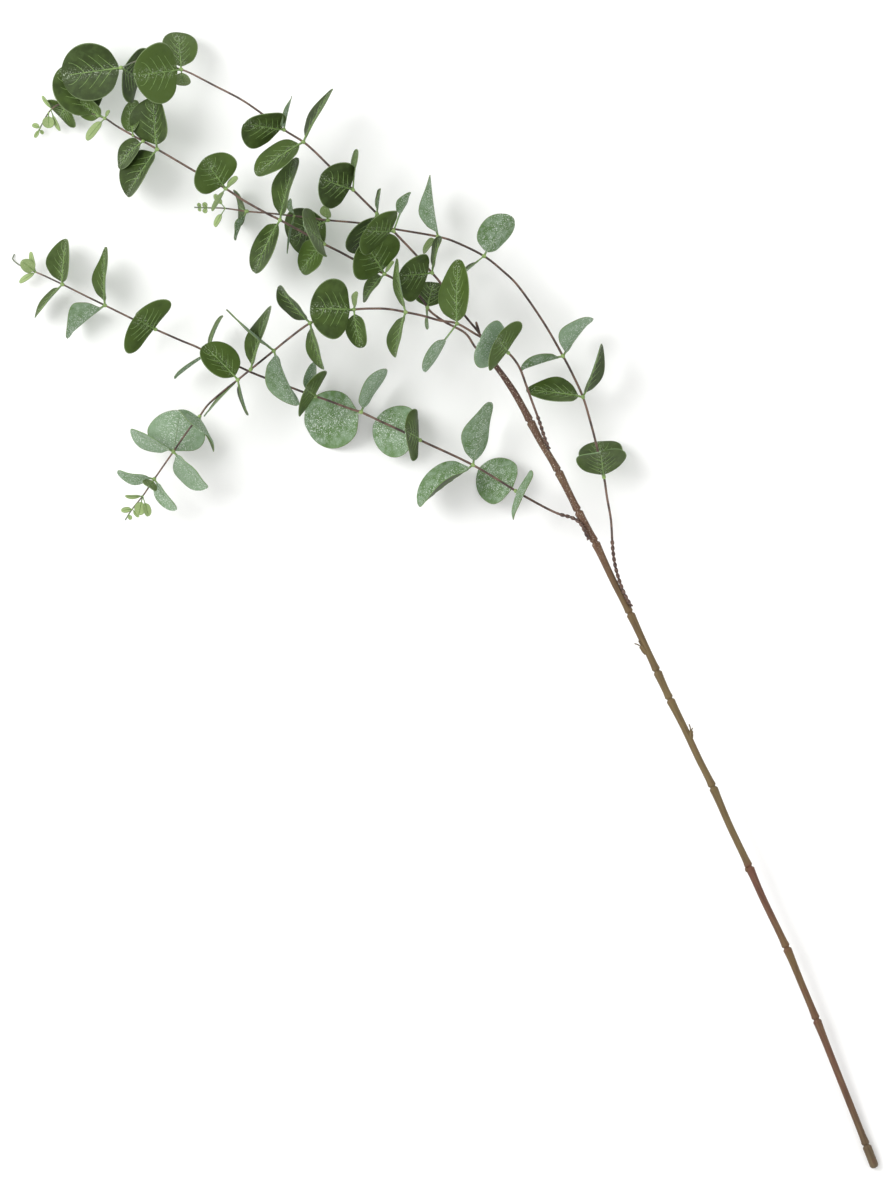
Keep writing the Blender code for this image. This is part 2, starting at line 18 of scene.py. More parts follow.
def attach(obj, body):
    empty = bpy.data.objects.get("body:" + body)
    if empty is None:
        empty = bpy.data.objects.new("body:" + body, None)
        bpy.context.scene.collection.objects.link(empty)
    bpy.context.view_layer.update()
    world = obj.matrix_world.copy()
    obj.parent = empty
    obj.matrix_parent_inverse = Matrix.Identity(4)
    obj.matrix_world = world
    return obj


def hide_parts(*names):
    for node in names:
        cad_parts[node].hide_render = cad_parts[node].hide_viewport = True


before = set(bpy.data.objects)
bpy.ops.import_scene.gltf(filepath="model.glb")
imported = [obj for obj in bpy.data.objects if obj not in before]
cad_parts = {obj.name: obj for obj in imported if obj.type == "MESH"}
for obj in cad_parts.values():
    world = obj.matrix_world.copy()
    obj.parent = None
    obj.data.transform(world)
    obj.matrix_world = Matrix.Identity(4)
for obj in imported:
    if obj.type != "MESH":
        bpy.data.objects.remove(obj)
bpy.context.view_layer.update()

log = logging.getLogger("branch")

MM = 0.001
PHOTO_PIXEL = 0.8 * MM
DATUM_PX = (446.0, 600.0)

Place = tuple[float, float, float]
Pixel = tuple[float, float]
Color = tuple[float, float, float, float]

PETIOLE_WIDTH = 1.5 * MM
NECK_SHARE = 0.2
STALK_LIMIT = 0.45
SHOULDER = 0.72
SHOULDER_REACH = 0.12
TAPER_FROM = 0.3
CUP_POWER = 1.7
HEADING_RUN = 3 * MM


class Face(Enum):
    """The side of a blade, with the number of its material slot."""

    UPPER = 0
    UNDER = 1


class Slot(Enum):
    """The record's material slots."""

    STEM = "stem_bark"
    FOLIAGE = "foliage"


def smoothstep(low: float, high: float, value: float) -> float:
    """Ease from 0 at low to 1 at high."""
    share = min(max((value - low) / (high - low), 0.0), 1.0)
    return share * share * (3 - 2 * share)


@dataclass(frozen=True)
class Leaf:
    """One blade: its node and tip in photo pixels, the tip's height over the node, its width.

    roll turns the blade about its own length: 0 shows the upper face to the camera, 180 the
    underside, and 90 or -90 stands it on edge with its upper face to the right or the left.
    trough is the slope of its raised halves in degrees, taper how pointed it is from 0 to 1,
    stalk the petiole's length, and bow the share of the length by which the tip bends back.
    A flipped blade has its underside in the trough, and a pressed one lies on the surface.
    """

    node: Pixel
    tip: Pixel
    rise: float
    width: float
    roll: float
    trough: float = 13.0
    taper: float = 0.0
    stalk: float = 4.0
    bow: float = 0.07
    flipped: bool = False
    pressed: bool = False

    @property
    def widest(self) -> float:
        """Half of the greatest width in metres."""
        return self.width * MM / 2

    def petiole(self, length: float) -> float:
        """Find the petiole's length for the leaf's whole length, in metres."""
        return min(self.stalk * MM, STALK_LIMIT * length)

    def half_width(self, share: float) -> float:
        """Find half the blade's width at a share of its own length.

        Args:
            share: 0 at the end of the petiole and 1 at the tip.

        Returns:
            The half width in metres.
        """
        oval = math.sqrt(max(0.0, 1 - (2 * share - 1) ** 2))
        shoulder = SHOULDER + (1 - SHOULDER) * smoothstep(0.0, SHOULDER_REACH, share)
        point = 1 - self.taper * smoothstep(TAPER_FROM, 1.0, share)
        neck = min(PETIOLE_WIDTH / 2, NECK_SHARE * self.width * MM) * (1 - share)
        return max(self.widest * oval * shoulder * point, neck)

    def rim_lift(self, half: float) -> float:
        """Find how far the rim stands over the midrib.

        Args:
            half: Half the blade's width there in metres.

        Returns:
            The rim's height over the midrib in metres.
        """
        slope = math.tan(math.radians(self.trough))
        return self.widest * (half / self.widest) ** CUP_POWER * slope


@dataclass(frozen=True)
class Stub:
    """A broken-off twig: its root and end as (x px, y px, height mm), two radii in mm and the
    tips of the torn wires that stand out of its end."""

    root: Place
    end: Place
    root_radius: float
    end_radius: float
    wires: tuple[Place, ...] = ()


def place(px: float, py: float, height_mm: float) -> Vector:
    """Find the point in metres of a photo pixel at a height over the surface.

    Args:
        px: The pixel's column.
        py: The pixel's row.
        height_mm: The height over the surface in millimetres.

    Returns:
        The point in the frame's own metres.
    """
    return Vector((
        (px - DATUM_PX[0]) * PHOTO_PIXEL, (DATUM_PX[1] - py) * PHOTO_PIXEL, height_mm * MM
    ))


def linear(code: str) -> Color:
    """Turn an sRGB hex colour to linear red, green, blue and alpha.

    Args:
        code: Six hex digits with a leading #.

    Returns:
        The linear colour, opaque.
    """
    shares = [int(code[start:start + 2], 16) / 255 for start in (1, 3, 5)]
    bent = [s / 12.92 if s <= 0.04045 else ((s + 0.055) / 1.055) ** 2.4 for s in shares]
    return (bent[0], bent[1], bent[2], 1.0)


def feed(tree: bpy.types.NodeTree, entry: bpy.types.NodeSocket, value: Any) -> None:
    """Link an input to the socket that feeds it, or set its value.

    Args:
        tree: The tree that holds the input.
        entry: The input.
        value: A value, or the socket that feeds the input.
    """
    if isinstance(value, bpy.types.NodeSocket):
        tree.links.new(value, entry)
    else:
        entry.default_value = value


def add_node(
    tree: bpy.types.NodeTree,
    kind: str,
    inputs: dict[int | str, Any] | None = None,
    **settings: Any,
) -> bpy.types.Node:
    """Add a node with its settings, socket values and links.

    Args:
        tree: The tree that gets the node.
        kind: The node's type name.
        inputs: For each input's name or number, a value or the socket that feeds it.
        settings: The node's own properties.

    Returns:
        The new node.
    """
    node = tree.nodes.new(kind)
    for name, value in settings.items():
        setattr(node, name, value)
    for name, value in (inputs or {}).items():
        feed(tree, node.inputs[name], value)
    return node


class Route:
    """A smooth centre line through measured places, with lengths along it."""

    def __init__(self, points: Sequence[Vector], step: float) -> None:
        """Sample a Catmull-Rom curve through the points.

        Args:
            points: The measured places in order.
            step: The rough distance between samples in metres.
        """
        self.points = self._sample(points, step)
        self.lengths = [0.0]
        for start, end in zip(self.points, self.points[1:]):
            self.lengths.append(self.lengths[-1] + (end - start).length)

    @staticmethod
    def _sample(points: Sequence[Vector], step: float) -> list[Vector]:
        """Sample the curve that passes through every point.

        Args:
            points: The measured places in order.
            step: The rough distance between samples in metres.

        Returns:
            The samples, the first and last point among them.
        """
        padded = [2 * points[0] - points[1], *points, 2 * points[-1] - points[-2]]
        samples = [points[0].copy()]
        for before, start, end, after in zip(padded, padded[1:], padded[2:], padded[3:]):
            count = max(1, round((end - start).length / step))
            for index in range(1, count + 1):
                t = index / count
                samples.append(0.5 * (
                    2 * start
                    + (end - before) * t
                    + (2 * before - 5 * start + 4 * end - after) * t ** 2
                    + (3 * start - before - 3 * end + after) * t ** 3
                ))
        return samples

    @property
    def length(self) -> float:
        """The whole length in metres."""
        return self.lengths[-1]

    def point(self, length: float) -> Vector:
        """Find the point at a length from the start.

        Args:
            length: The length along the line in metres, which may lie past either end.

        Returns:
            The point on the line.
        """
        last = len(self.points) - 2
        index = 0
        while index < last and length > self.lengths[index + 1]:
            index += 1
        run = self.lengths[index + 1] - self.lengths[index]
        return self.points[index].lerp(self.points[index + 1], (length - self.lengths[index]) / run)

    def heading(self, length: float) -> Vector:
        """Find the direction of the line at a length from its start.

        Args:
            length: The length along the line in metres.

        Returns:
            The unit direction.
        """
        low = min(max(length - HEADING_RUN / 2, 0.0), self.length - HEADING_RUN)
        return (self.point(low + HEADING_RUN) - self.point(low)).normalized()

    def nearest(self, mark: Vector) -> float:
        """Find how far along lies the place nearest to a mark, seen from above.

        Args:
            mark: The place sought; its height is not used.

        Returns:
            The length from the start in metres.
        """
        best_gap, best_length = math.inf, 0.0
        for index, (start, end) in enumerate(zip(self.points, self.points[1:])):
            run = (end - start).xy
            if run.length_squared == 0:
                continue
            share = max(0.0, min(1.0, (mark.xy - start.xy).dot(run) / run.length_squared))
            gap = (start.xy + run * share - mark.xy).length
            if gap < best_gap:
                best_gap = gap
                best_length = self.lengths[index] + share * (end - start).length
        return best_length


class PathSet:
    """Centre lines that wait for their tubes, kept as one mesh of edges."""

    def __init__(self) -> None:
        """Start with no line."""
        self.points: list[Vector] = []
        self.edges: list[tuple[int, int]] = []
        self.radii: list[float] = []
        self.alongs: list[float] = []

    def add(
        self, points: Sequence[Vector], radii: Sequence[float], start: float = 0.0
    ) -> None:
        """Add one open line.

        Args:
            points: The line's points in metres.
            radii: The tube's radius at each point in metres.
            start: The length already run before the first point, in metres.
        """
        first = len(self.points)
        along = start
        for index, (point, radius) in enumerate(zip(points, radii)):
            if index:
                along += (point - points[index - 1]).length
                self.edges.append((first + index - 1, first + index))
            self.points.append(point)
            self.radii.append(radius)
            self.alongs.append(along)

    def mesh(self, name: str) -> bpy.types.Mesh:
        """Make the mesh of edges with its radius and along attributes.

        Args:
            name: The mesh's name.

        Returns:
            The mesh.
        """
        mesh = bpy.data.meshes.new(name)
        mesh.from_pydata([tuple(point) for point in self.points], self.edges, [])
        for label, values in (("radius", self.radii), ("along", self.alongs)):
            mesh.attributes.new(label, "FLOAT", "POINT").data.foreach_set("value", values)
        return mesh


class GrowthTree:
    """A Geometry Nodes tree with named inputs that turns a guide mesh into a finished one."""

    def __init__(self, name: str, sockets: dict[str, str]) -> None:
        """Start the tree with its guide geometry and its named inputs.

        Args:
            name: The tree's name.
            sockets: The type of each named input.
        """
        self.tree = bpy.data.node_groups.new(name, "GeometryNodeTree")
        face = self.tree.interface
        face.new_socket("Guide", in_out="INPUT", socket_type="NodeSocketGeometry")
        for label, kind in sockets.items():
            face.new_socket(label, in_out="INPUT", socket_type=kind)
        face.new_socket("Result", in_out="OUTPUT", socket_type="NodeSocketGeometry")
        self.inputs = self.node("NodeGroupInput").outputs

    def node(
        self, kind: str, inputs: dict[int | str, Any] | None = None, **settings: Any
    ) -> bpy.types.Node:
        """Add a node to this tree, as add_node does."""
        return add_node(self.tree, kind, inputs, **settings)

    def close(self, geometry: bpy.types.NodeSocket) -> None:
        """End the tree in smooth shading, real geometry and its material.

        Args:
            geometry: The socket that carries the made geometry.
        """
        real = self.node("GeometryNodeRealizeInstances", {"Geometry": geometry})
        smooth = self.node("GeometryNodeSetShadeSmooth", {"Geometry": real.outputs[0]})
        dressed = self.node("GeometryNodeSetMaterial", {
            "Geometry": smooth.outputs[0], "Material": self.inputs["Material"],
        })
        self.node("NodeGroupOutput", {"Result": dressed.outputs[0]})

    def grow(self, name: str, guide: bpy.types.Mesh, values: dict[str, Any]) -> bpy.types.Object:
        """Run the tree on a guide and keep the result as a plain mesh.

        Args:
            name: The piece's name.
            guide: The guide mesh, which is removed afterwards.
            values: A value for each named input.

        Returns:
            The piece, with no modifier left on it.
        """
        piece = bpy.data.objects.new(name, guide)
        bpy.context.scene.collection.objects.link(piece)
        modifier = piece.modifiers.new("growth", "NODES")
        modifier.node_group = self.tree
        for label, value in values.items():
            modifier[self.tree.interface.items_tree[label].identifier] = value
        bpy.context.view_layer.update()
        graph = bpy.context.evaluated_depsgraph_get()
        made = bpy.data.meshes.new_from_object(piece.evaluated_get(graph))
        piece.modifiers.remove(modifier)
        piece.data = made
        made.name = name
        bpy.data.meshes.remove(guide)
        return piece


class TubeTree(GrowthTree):
    """Sweeps a round section of the radius attribute along every line of the guide."""

    def __init__(self) -> None:
        """Build the tree."""
        super().__init__("tube_along_lines", {
            "Sides": "NodeSocketInt", "Material": "NodeSocketMaterial",
        })
        lines = self.node("GeometryNodeMeshToCurve", {"Mesh": self.inputs["Guide"]})
        ring = self.node("GeometryNodeCurvePrimitiveCircle", {
            "Resolution": self.inputs["Sides"], "Radius": 1.0,
        })
        place_on_ring = self.node("GeometryNodeInputPosition")
        radius = self.node(
            "GeometryNodeInputNamedAttribute", {"Name": "radius"}, data_type="FLOAT"
        )
        marked = self.node("GeometryNodeStoreNamedAttribute", {
            "Geometry": ring.outputs["Curve"], "Name": "section",
            "Value": place_on_ring.outputs[0],
        }, data_type="FLOAT_VECTOR", domain="POINT")
        tube = self.node("GeometryNodeCurveToMesh", {
            "Curve": lines.outputs[0], "Profile Curve": marked.outputs[0],
            "Scale": radius.outputs["Attribute"], "Fill Caps": True,
        })
        self.close(tube.outputs[0])

    def tubes(
        self, name: str, paths: PathSet, sides: int, material: bpy.types.Material
    ) -> bpy.types.Object:
        """Make one piece of tubes.

        Args:
            name: The piece's name.
            paths: The centre lines with their radii.
            sides: The number of sides of each tube.
            material: The tubes' material.

        Returns:
            The piece.
        """
        return self.grow(name, paths.mesh(name + "_lines"), {"Sides": sides, "Material": material})


class CollarTree(GrowthTree):
    """Sets a small barrel on every point of the guide, turned to its heading attribute."""

    def __init__(self) -> None:
        """Build the tree."""
        super().__init__("collars_on_points", {
            "Length": "NodeSocketFloat", "Radius": "NodeSocketFloat",
            "Waist": "NodeSocketFloat", "Sides": "NodeSocketInt",
            "Material": "NodeSocketMaterial",
        })
        half = self.node("ShaderNodeMath", {0: self.inputs["Length"], 1: 0.5}, operation="MULTIPLY")
        low = self.node("ShaderNodeMath", {0: half.outputs[0], 1: -1.0}, operation="MULTIPLY")
        bottom = self.node("ShaderNodeCombineXYZ", {"Z": low.outputs[0]})
        top = self.node("ShaderNodeCombineXYZ", {"Z": half.outputs[0]})
        axis = self.node("GeometryNodeCurvePrimitiveLine", {
            "Start": bottom.outputs[0], "End": top.outputs[0],
        })
        rings = self.node("GeometryNodeResampleCurve", {"Curve": axis.outputs[0], "Count": 7})
        share = self.node("GeometryNodeSplineParameter")
        turn = self.node("ShaderNodeMath", {
            0: share.outputs["Factor"], 1: math.pi,
        }, operation="MULTIPLY")
        bulge = self.node("ShaderNodeMath", {0: turn.outputs[0]}, operation="SINE")
        girth = self.node("ShaderNodeMapRange", {
            "Value": bulge.outputs[0], "To Min": self.inputs["Waist"],
            "To Max": self.inputs["Radius"],
        })
        ring = self.node("GeometryNodeCurvePrimitiveCircle", {
            "Resolution": self.inputs["Sides"], "Radius": 1.0,
        })
        barrel = self.node("GeometryNodeCurveToMesh", {
            "Curve": rings.outputs[0], "Profile Curve": ring.outputs["Curve"],
            "Scale": girth.outputs[0], "Fill Caps": True,
        })
        heading, size = (
            self.node("GeometryNodeInputNamedAttribute", {"Name": label}, data_type=kind)
            for label, kind in (("heading", "FLOAT_VECTOR"), ("size", "FLOAT"))
        )
        turned = self.node("FunctionNodeAlignRotationToVector", {
            "Vector": heading.outputs["Attribute"],
        }, axis="Z")
        points = self.node("GeometryNodeMeshToPoints", {"Mesh": self.inputs["Guide"]})
        placed = self.node("GeometryNodeInstanceOnPoints", {
            "Points": points.outputs[0], "Instance": barrel.outputs[0],
            "Rotation": turned.outputs[0], "Scale": size.outputs["Attribute"],
        })
        self.close(placed.outputs[0])


@dataclass(frozen=True)
class Coat:
    """A colour worked over what lies beneath it, in clouds or where a given value says so.

    It shows nothing where the value is low and its whole amount where the value is high.
    grain_mm is the real width of its clouds, and detail the number of their finer layers.
    """

    code: str
    low: float
    high: float
    amount: float = 1.0
    grain_mm: float = 1.0
    detail: float = 2.0
    interpolation: str = "SMOOTHSTEP"

    def over(
        self,
        tree: bpy.types.NodeTree,
        below: bpy.types.NodeSocket | str,
        value: bpy.types.NodeSocket | None = None,
        mask: bpy.types.NodeSocket | None = None,
    ) -> bpy.types.NodeSocket:
        """Lay the coat.

        Args:
            tree: The material's tree.
            below: The colour beneath, as a socket or a hex code.
            value: Where the coat shows; its own clouds by default.
            mask: A second value that the coat's share is multiplied by.

        Returns:
            The colour with the coat on it.
        """
        if value is None:
            where = add_node(tree, "ShaderNodeTexCoord").outputs["Object"]
            value = add_node(tree, "ShaderNodeTexNoise", {
                "Vector": where, "Scale": 1 / (self.grain_mm * MM), "Detail": self.detail,
            }).outputs[0]
        share = add_node(tree, "ShaderNodeMapRange", {
            "Value": value, "From Min": self.low, "From Max": self.high, "To Max": self.amount,
        }, interpolation_type=self.interpolation).outputs[0]
        if mask is not None:
            share = add_node(
                tree, "ShaderNodeMath", {0: share, 1: mask}, operation="MULTIPLY"
            ).outputs[0]
        return add_node(tree, "ShaderNodeMix", {
            0: share, 6: linear(below) if isinstance(below, str) else below,
            7: linear(self.code),
        }, data_type="RGBA").outputs[2]


@dataclass(frozen=True, kw_only=True)
class Finish:
    """A material's name, gloss and relief; each kind of surface paints its own colour.

    The relief's depth and the width of its grains are millimetres. The real grain of plastic,
    tape and paper is too fine to show, so its grains are drawn a photo pixel or more across.
    """

    name: str
    roughness: float
    specular: float = 0.5
    relief_mm: float
    relief_grain_mm: float
    relief_detail: float = 2.0

    def material(self) -> bpy.types.Material:
        """Make the material with its shader.

        Returns:
            The material.
        """
        made = bpy.data.materials.new(self.name)
        made.use_nodes = True
        tree = made.node_tree
        relief = add_node(tree, "ShaderNodeTexNoise", {
            "Vector": self.relief_place(tree), "Scale": 1 / (self.relief_grain_mm * MM),
            "Detail": self.relief_detail,
        }).outputs[0]
        bump = add_node(tree, "ShaderNodeBump", {
            "Height": relief, "Distance": self.relief_mm * MM,
        })
        entries = tree.nodes["Principled BSDF"].inputs
        feed(tree, entries["Base Color"], self.paint(tree, relief))
        feed(tree, entries["Roughness"], self.roughness)
        feed(tree, entries["Specular IOR Level"], self.specular)
        feed(tree, entries["Normal"], bump.outputs["Normal"])
        return made

    def relief_place(self, tree: bpy.types.NodeTree) -> bpy.types.NodeSocket:
        """Find where the relief is read: in the object's own metres."""
        return add_node(tree, "ShaderNodeTexCoord").outputs["Object"]

    def paint(
        self, tree: bpy.types.NodeTree, relief: bpy.types.NodeSocket
    ) -> bpy.types.NodeSocket | Color:
        """Mix the surface's colour, which may follow its relief."""
        raise NotImplementedError


@dataclass(frozen=True, kw_only=True)
class StemPlastic(Finish):
    """Polyethylene moulded over a steel wire and toned by hand: brown, olive and reddish
    along its length, with fine lengthwise streaks and pale flecks on its upper part."""

    length: float
    radius: float = 2.75 * MM
    tones: tuple[tuple[float, str], ...] = (
        (0.00, "#5f523c"), (0.03, "#5b4a33"), (0.09, "#5e422f"), (0.135, "#624332"),
        (0.18, "#60442f"), (0.255, "#675232"), (0.31, "#624332"), (0.362, "#643f31"),
        (0.378, "#675636"), (0.58, "#695938"), (0.70, "#624f33"), (0.76, "#624733"),
        (0.80, "#583c2c"), (0.88, "#5e4736"), (0.95, "#53392d"), (1.00, "#432b26"),
    )
    streak_stretch: float = 14.0
    dark_streaks: Coat = Coat("#442e20", 0.5, 0.68, 0.5)
    pale_streaks: Coat = Coat("#7d6949", 0.5, 0.3, 0.35)
    red_patches: Coat = Coat("#643729", 0.56, 0.72, 0.45, grain_mm=16.0)
    flecks: Coat = Coat("#cfc3b0", 0.6, 0.68, grain_mm=0.9, detail=3.0)
    flecks_from: float = 0.72
    flecks_whole: float = 0.8
    flecks_amount: float = 0.75
    relief_mm: float = 0.35
    relief_grain_mm: float = 1.1
    relief_detail: float = 4.0

    def relief_place(self, tree: bpy.types.NodeTree) -> bpy.types.NodeSocket:
        """Find where the streaks are read, with the stem's length pressed together for them.

        Args:
            tree: The material's tree.

        Returns:
            The place round and along the stem in metres.
        """
        section = add_node(tree, "ShaderNodeAttribute", attribute_name="section").outputs["Vector"]
        ring = add_node(tree, "ShaderNodeSeparateXYZ", {0: section})
        along = add_node(tree, "ShaderNodeAttribute", attribute_name="along").outputs["Fac"]
        pressed = add_node(tree, "ShaderNodeMath", {
            0: along, 1: 1 / (self.streak_stretch * self.radius),
        }, operation="MULTIPLY")
        spot = add_node(tree, "ShaderNodeCombineXYZ", {
            0: ring.outputs[0], 1: ring.outputs[1], 2: pressed.outputs[0],
        })
        return add_node(tree, "ShaderNodeVectorMath", {
            0: spot.outputs[0], 3: self.radius,
        }, operation="SCALE").outputs[0]

    def paint(
        self, tree: bpy.types.NodeTree, relief: bpy.types.NodeSocket
    ) -> bpy.types.NodeSocket:
        """Paint the tones, streaks, red patches and flecks.

        Args:
            tree: The material's tree.
            relief: The streaks.

        Returns:
            The colour.
        """
        along = add_node(tree, "ShaderNodeAttribute", attribute_name="along").outputs["Fac"]
        share = add_node(
            tree, "ShaderNodeMath", {0: along, 1: 1 / self.length}, operation="MULTIPLY"
        ).outputs[0]
        ramp = add_node(tree, "ShaderNodeValToRGB", {"Fac": share})
        stops = ramp.color_ramp.elements
        for stop, (position, code) in zip(stops[:], (self.tones[0], self.tones[-1])):
            stop.position = position
            stop.color = linear(code)
        for position, code in self.tones[1:-1]:
            stops.new(position).color = linear(code)
        region = add_node(tree, "ShaderNodeMapRange", {
            "Value": share, "From Min": self.flecks_from, "From Max": self.flecks_whole,
            "To Max": self.flecks_amount,
        }, interpolation_type="SMOOTHSTEP").outputs[0]
        color = self.dark_streaks.over(tree, ramp.outputs[0], relief)
        color = self.pale_streaks.over(tree, color, relief)
        color = self.red_patches.over(tree, color)
        return self.flecks.over(tree, color, mask=region)


@dataclass(frozen=True, kw_only=True)
class TwigPlastic(Finish):
    """Polyethylene drawn thinly over wire: smooth reddish brown, greyer and darker in places,
    grey-green towards the soft tip."""

    length: float
    brown: str = "#6b5245"
    darker_runs: Coat = Coat("#392823", 0.36, 0.62, grain_mm=9.0)
    tip: str = "#636e58"
    tip_from: float = 0.93
    relief_mm: float = 0.15
    relief_grain_mm: float = 0.8

    def paint(
        self, tree: bpy.types.NodeTree, relief: bpy.types.NodeSocket
    ) -> bpy.types.NodeSocket:
        """Paint the brown with its darker runs and the green tip.

        Args:
            tree: The material's tree.
            relief: The surface's grain, which has no colour of its own here.

        Returns:
            The colour.
        """
        along = add_node(tree, "ShaderNodeAttribute", attribute_name="along").outputs["Fac"]
        young = Coat(self.tip, self.tip_from * self.length, self.length)
        return young.over(tree, self.darker_runs.over(tree, self.brown), along)


@dataclass(frozen=True, kw_only=True)
class WrapTape(Finish):
    """Waxed paper tape twisted tightly round the wires: dark brown ridges that catch pale
    dust, rougher than the plastic."""

    hollow: str = "#2c1d19"
    ridge: Coat = Coat("#5e4338", 0.4, 0.6)
    dust: Coat = Coat("#a89785", 0.58, 0.66, 0.8, grain_mm=0.8, detail=3.0)
    relief_mm: float = 0.3
    relief_grain_mm: float = 2.0
    relief_detail: float = 3.0

    def paint(
        self, tree: bpy.types.NodeTree, relief: bpy.types.NodeSocket
    ) -> bpy.types.NodeSocket:
        """Paint the hollows, the ridges and their dust."""
        return self.dust.over(tree, self.ridge.over(tree, self.hollow, relief))


@dataclass(frozen=True, kw_only=True)
class LeafPlastic(Finish):
    """Soft polyethylene leaf, moulded thin: a base green that varies from leaf to leaf, a
    young pale green at the tips, and a fine pale line where the mould parts at the rim."""

    deep: str = "#2b3914"
    fresh: str = "#445822"
    young: str = "#98ac74"
    rim: str = "#74865c"
    frost: str = "#aebba0"
    frost_low: float = 0.54
    frost_high: float = 0.64
    frost_amount: float = 0.7
    frost_spread_mm: float = 7.0
    bloom: str = "#4a5f30"
    bloom_amount: float = 0.3
    mottle_grain_mm: float = 11.0
    mottle_share: float = 0.9
    shade_share: float = 0.55
    relief_mm: float = 0.12
    relief_grain_mm: float = 1.4
    relief_detail: float = 4.0

    def paint(
        self, tree: bpy.types.NodeTree, relief: bpy.types.NodeSocket
    ) -> bpy.types.NodeSocket:
        """Paint the green, the bloom, the frost along the midrib, the young tips and the rim.

        Args:
            tree: The material's tree.
            relief: The surface's grain, which has no colour of its own here.

        Returns:
            The colour.
        """
        tone = add_node(tree, "ShaderNodeAttribute", attribute_name="tone").outputs["Color"]
        shade, youth, rim = add_node(tree, "ShaderNodeSeparateColor", {0: tone}).outputs[:3]
        where = add_node(tree, "ShaderNodeTexCoord").outputs["Object"]
        cloud = add_node(tree, "ShaderNodeTexNoise", {
            "Vector": where, "Scale": 1 / (self.mottle_grain_mm * MM), "Detail": 3.0,
        })
        shaded = add_node(
            tree, "ShaderNodeMath", {0: shade, 1: self.shade_share}, operation="MULTIPLY"
        )
        mottled = add_node(tree, "ShaderNodeMath", {
            0: cloud.outputs[0], 1: self.mottle_share, 2: shaded.outputs[0],
        }, operation="MULTIPLY_ADD")
        color = Coat(self.fresh, 0.4, 1.0).over(tree, self.deep, mottled.outputs[0])
        bloom = Coat(self.bloom, 0.42, 0.66, self.bloom_amount, grain_mm=5.0, detail=4.0)
        color = bloom.over(tree, color)
        flat = add_node(tree, "ShaderNodeUVMap", uv_map="blade").outputs[0]
        across = add_node(tree, "ShaderNodeSeparateXYZ", {0: flat}).outputs[0]
        gap = add_node(tree, "ShaderNodeMath", {0: across, 1: 0.5}, operation="SUBTRACT")
        gap = add_node(tree, "ShaderNodeMath", {0: gap.outputs[0]}, operation="ABSOLUTE")
        near = add_node(tree, "ShaderNodeMapRange", {
            "Value": gap.outputs[0], "From Min": self.frost_spread_mm / BLADE_UV_MM,
            "From Max": 0.0, "To Max": self.frost_amount,
        }, interpolation_type="SMOOTHSTEP").outputs[0]
        frost = Coat(self.frost, self.frost_low, self.frost_high, detail=5.0)
        color = frost.over(tree, color, mask=near)
        color = Coat(self.young, 0.0, 1.0, 0.85, interpolation="LINEAR").over(tree, color, youth)
        return Coat(self.rim, 0.35, 1.0, 0.75).over(tree, color, rim)


@dataclass(frozen=True, kw_only=True)
class PlainPlastic(Finish):
    """Bare polyethylene as it left the mould: one green with slight cloudy changes."""

    light: str
    dark: str
    relief_mm: float = 0.1
    relief_grain_mm: float = 0.9

    def paint(
        self, tree: bpy.types.NodeTree, relief: bpy.types.NodeSocket
    ) -> bpy.types.NodeSocket:
        """Paint the green and its clouds."""
        return Coat(self.light, 0.35, 0.65, grain_mm=4.0).over(tree, self.dark)


@dataclass(frozen=True, kw_only=True)
class FloorPaper(Finish):
    """Seamless white studio paper: matte and even, with a barely visible tooth."""

    tint: str = "#f6f6f5"
    relief_mm: float = 0.02
    relief_grain_mm: float = 1.5

    def paint(self, tree: bpy.types.NodeTree, relief: bpy.types.NodeSocket) -> Color:
        """Give the paper its one colour."""
        return linear(self.tint)


BLADE_UV_MM = 60.0
BLADE_THICKNESS = 0.8 * MM
LARGEST_LIFT = 60 * MM
LIFT_HALVINGS = 30
PETIOLE_END_SHARE = 0.75
COARSE_STATIONS = (0.05, 0.25, 0.5, 0.78, 1.0)
SMALL_WIDTH = 12.5
SMALL_STATIONS = (0.2, 0.6, 1.0)
TIP_WIDTH_SHARE = 0.22


def coarse_rows(leaf: Leaf, length: float) -> list[tuple[float, float]]:
    """List the CAD blade's rows, which settle the leaf on the surface.

    Args:
        leaf: The leaf.
        length: Its length from node to tip in metres.

    Returns:
        For each row its distance from the node and its half width, in metres.
    """
    petiole = leaf.petiole(length)
    petiole_half = min(PETIOLE_WIDTH / 2, NECK_SHARE * leaf.width * MM)
    tip_half = TIP_WIDTH_SHARE * leaf.widest * (1 - leaf.taper)
    rows = [(0.0, petiole_half), (PETIOLE_END_SHARE * petiole, petiole_half)]
    for share in COARSE_STATIONS if leaf.width > SMALL_WIDTH else SMALL_STATIONS:
        half = max(leaf.half_width(share), tip_half)
        rows.append((petiole + share * (length - petiole), half))
    return rows


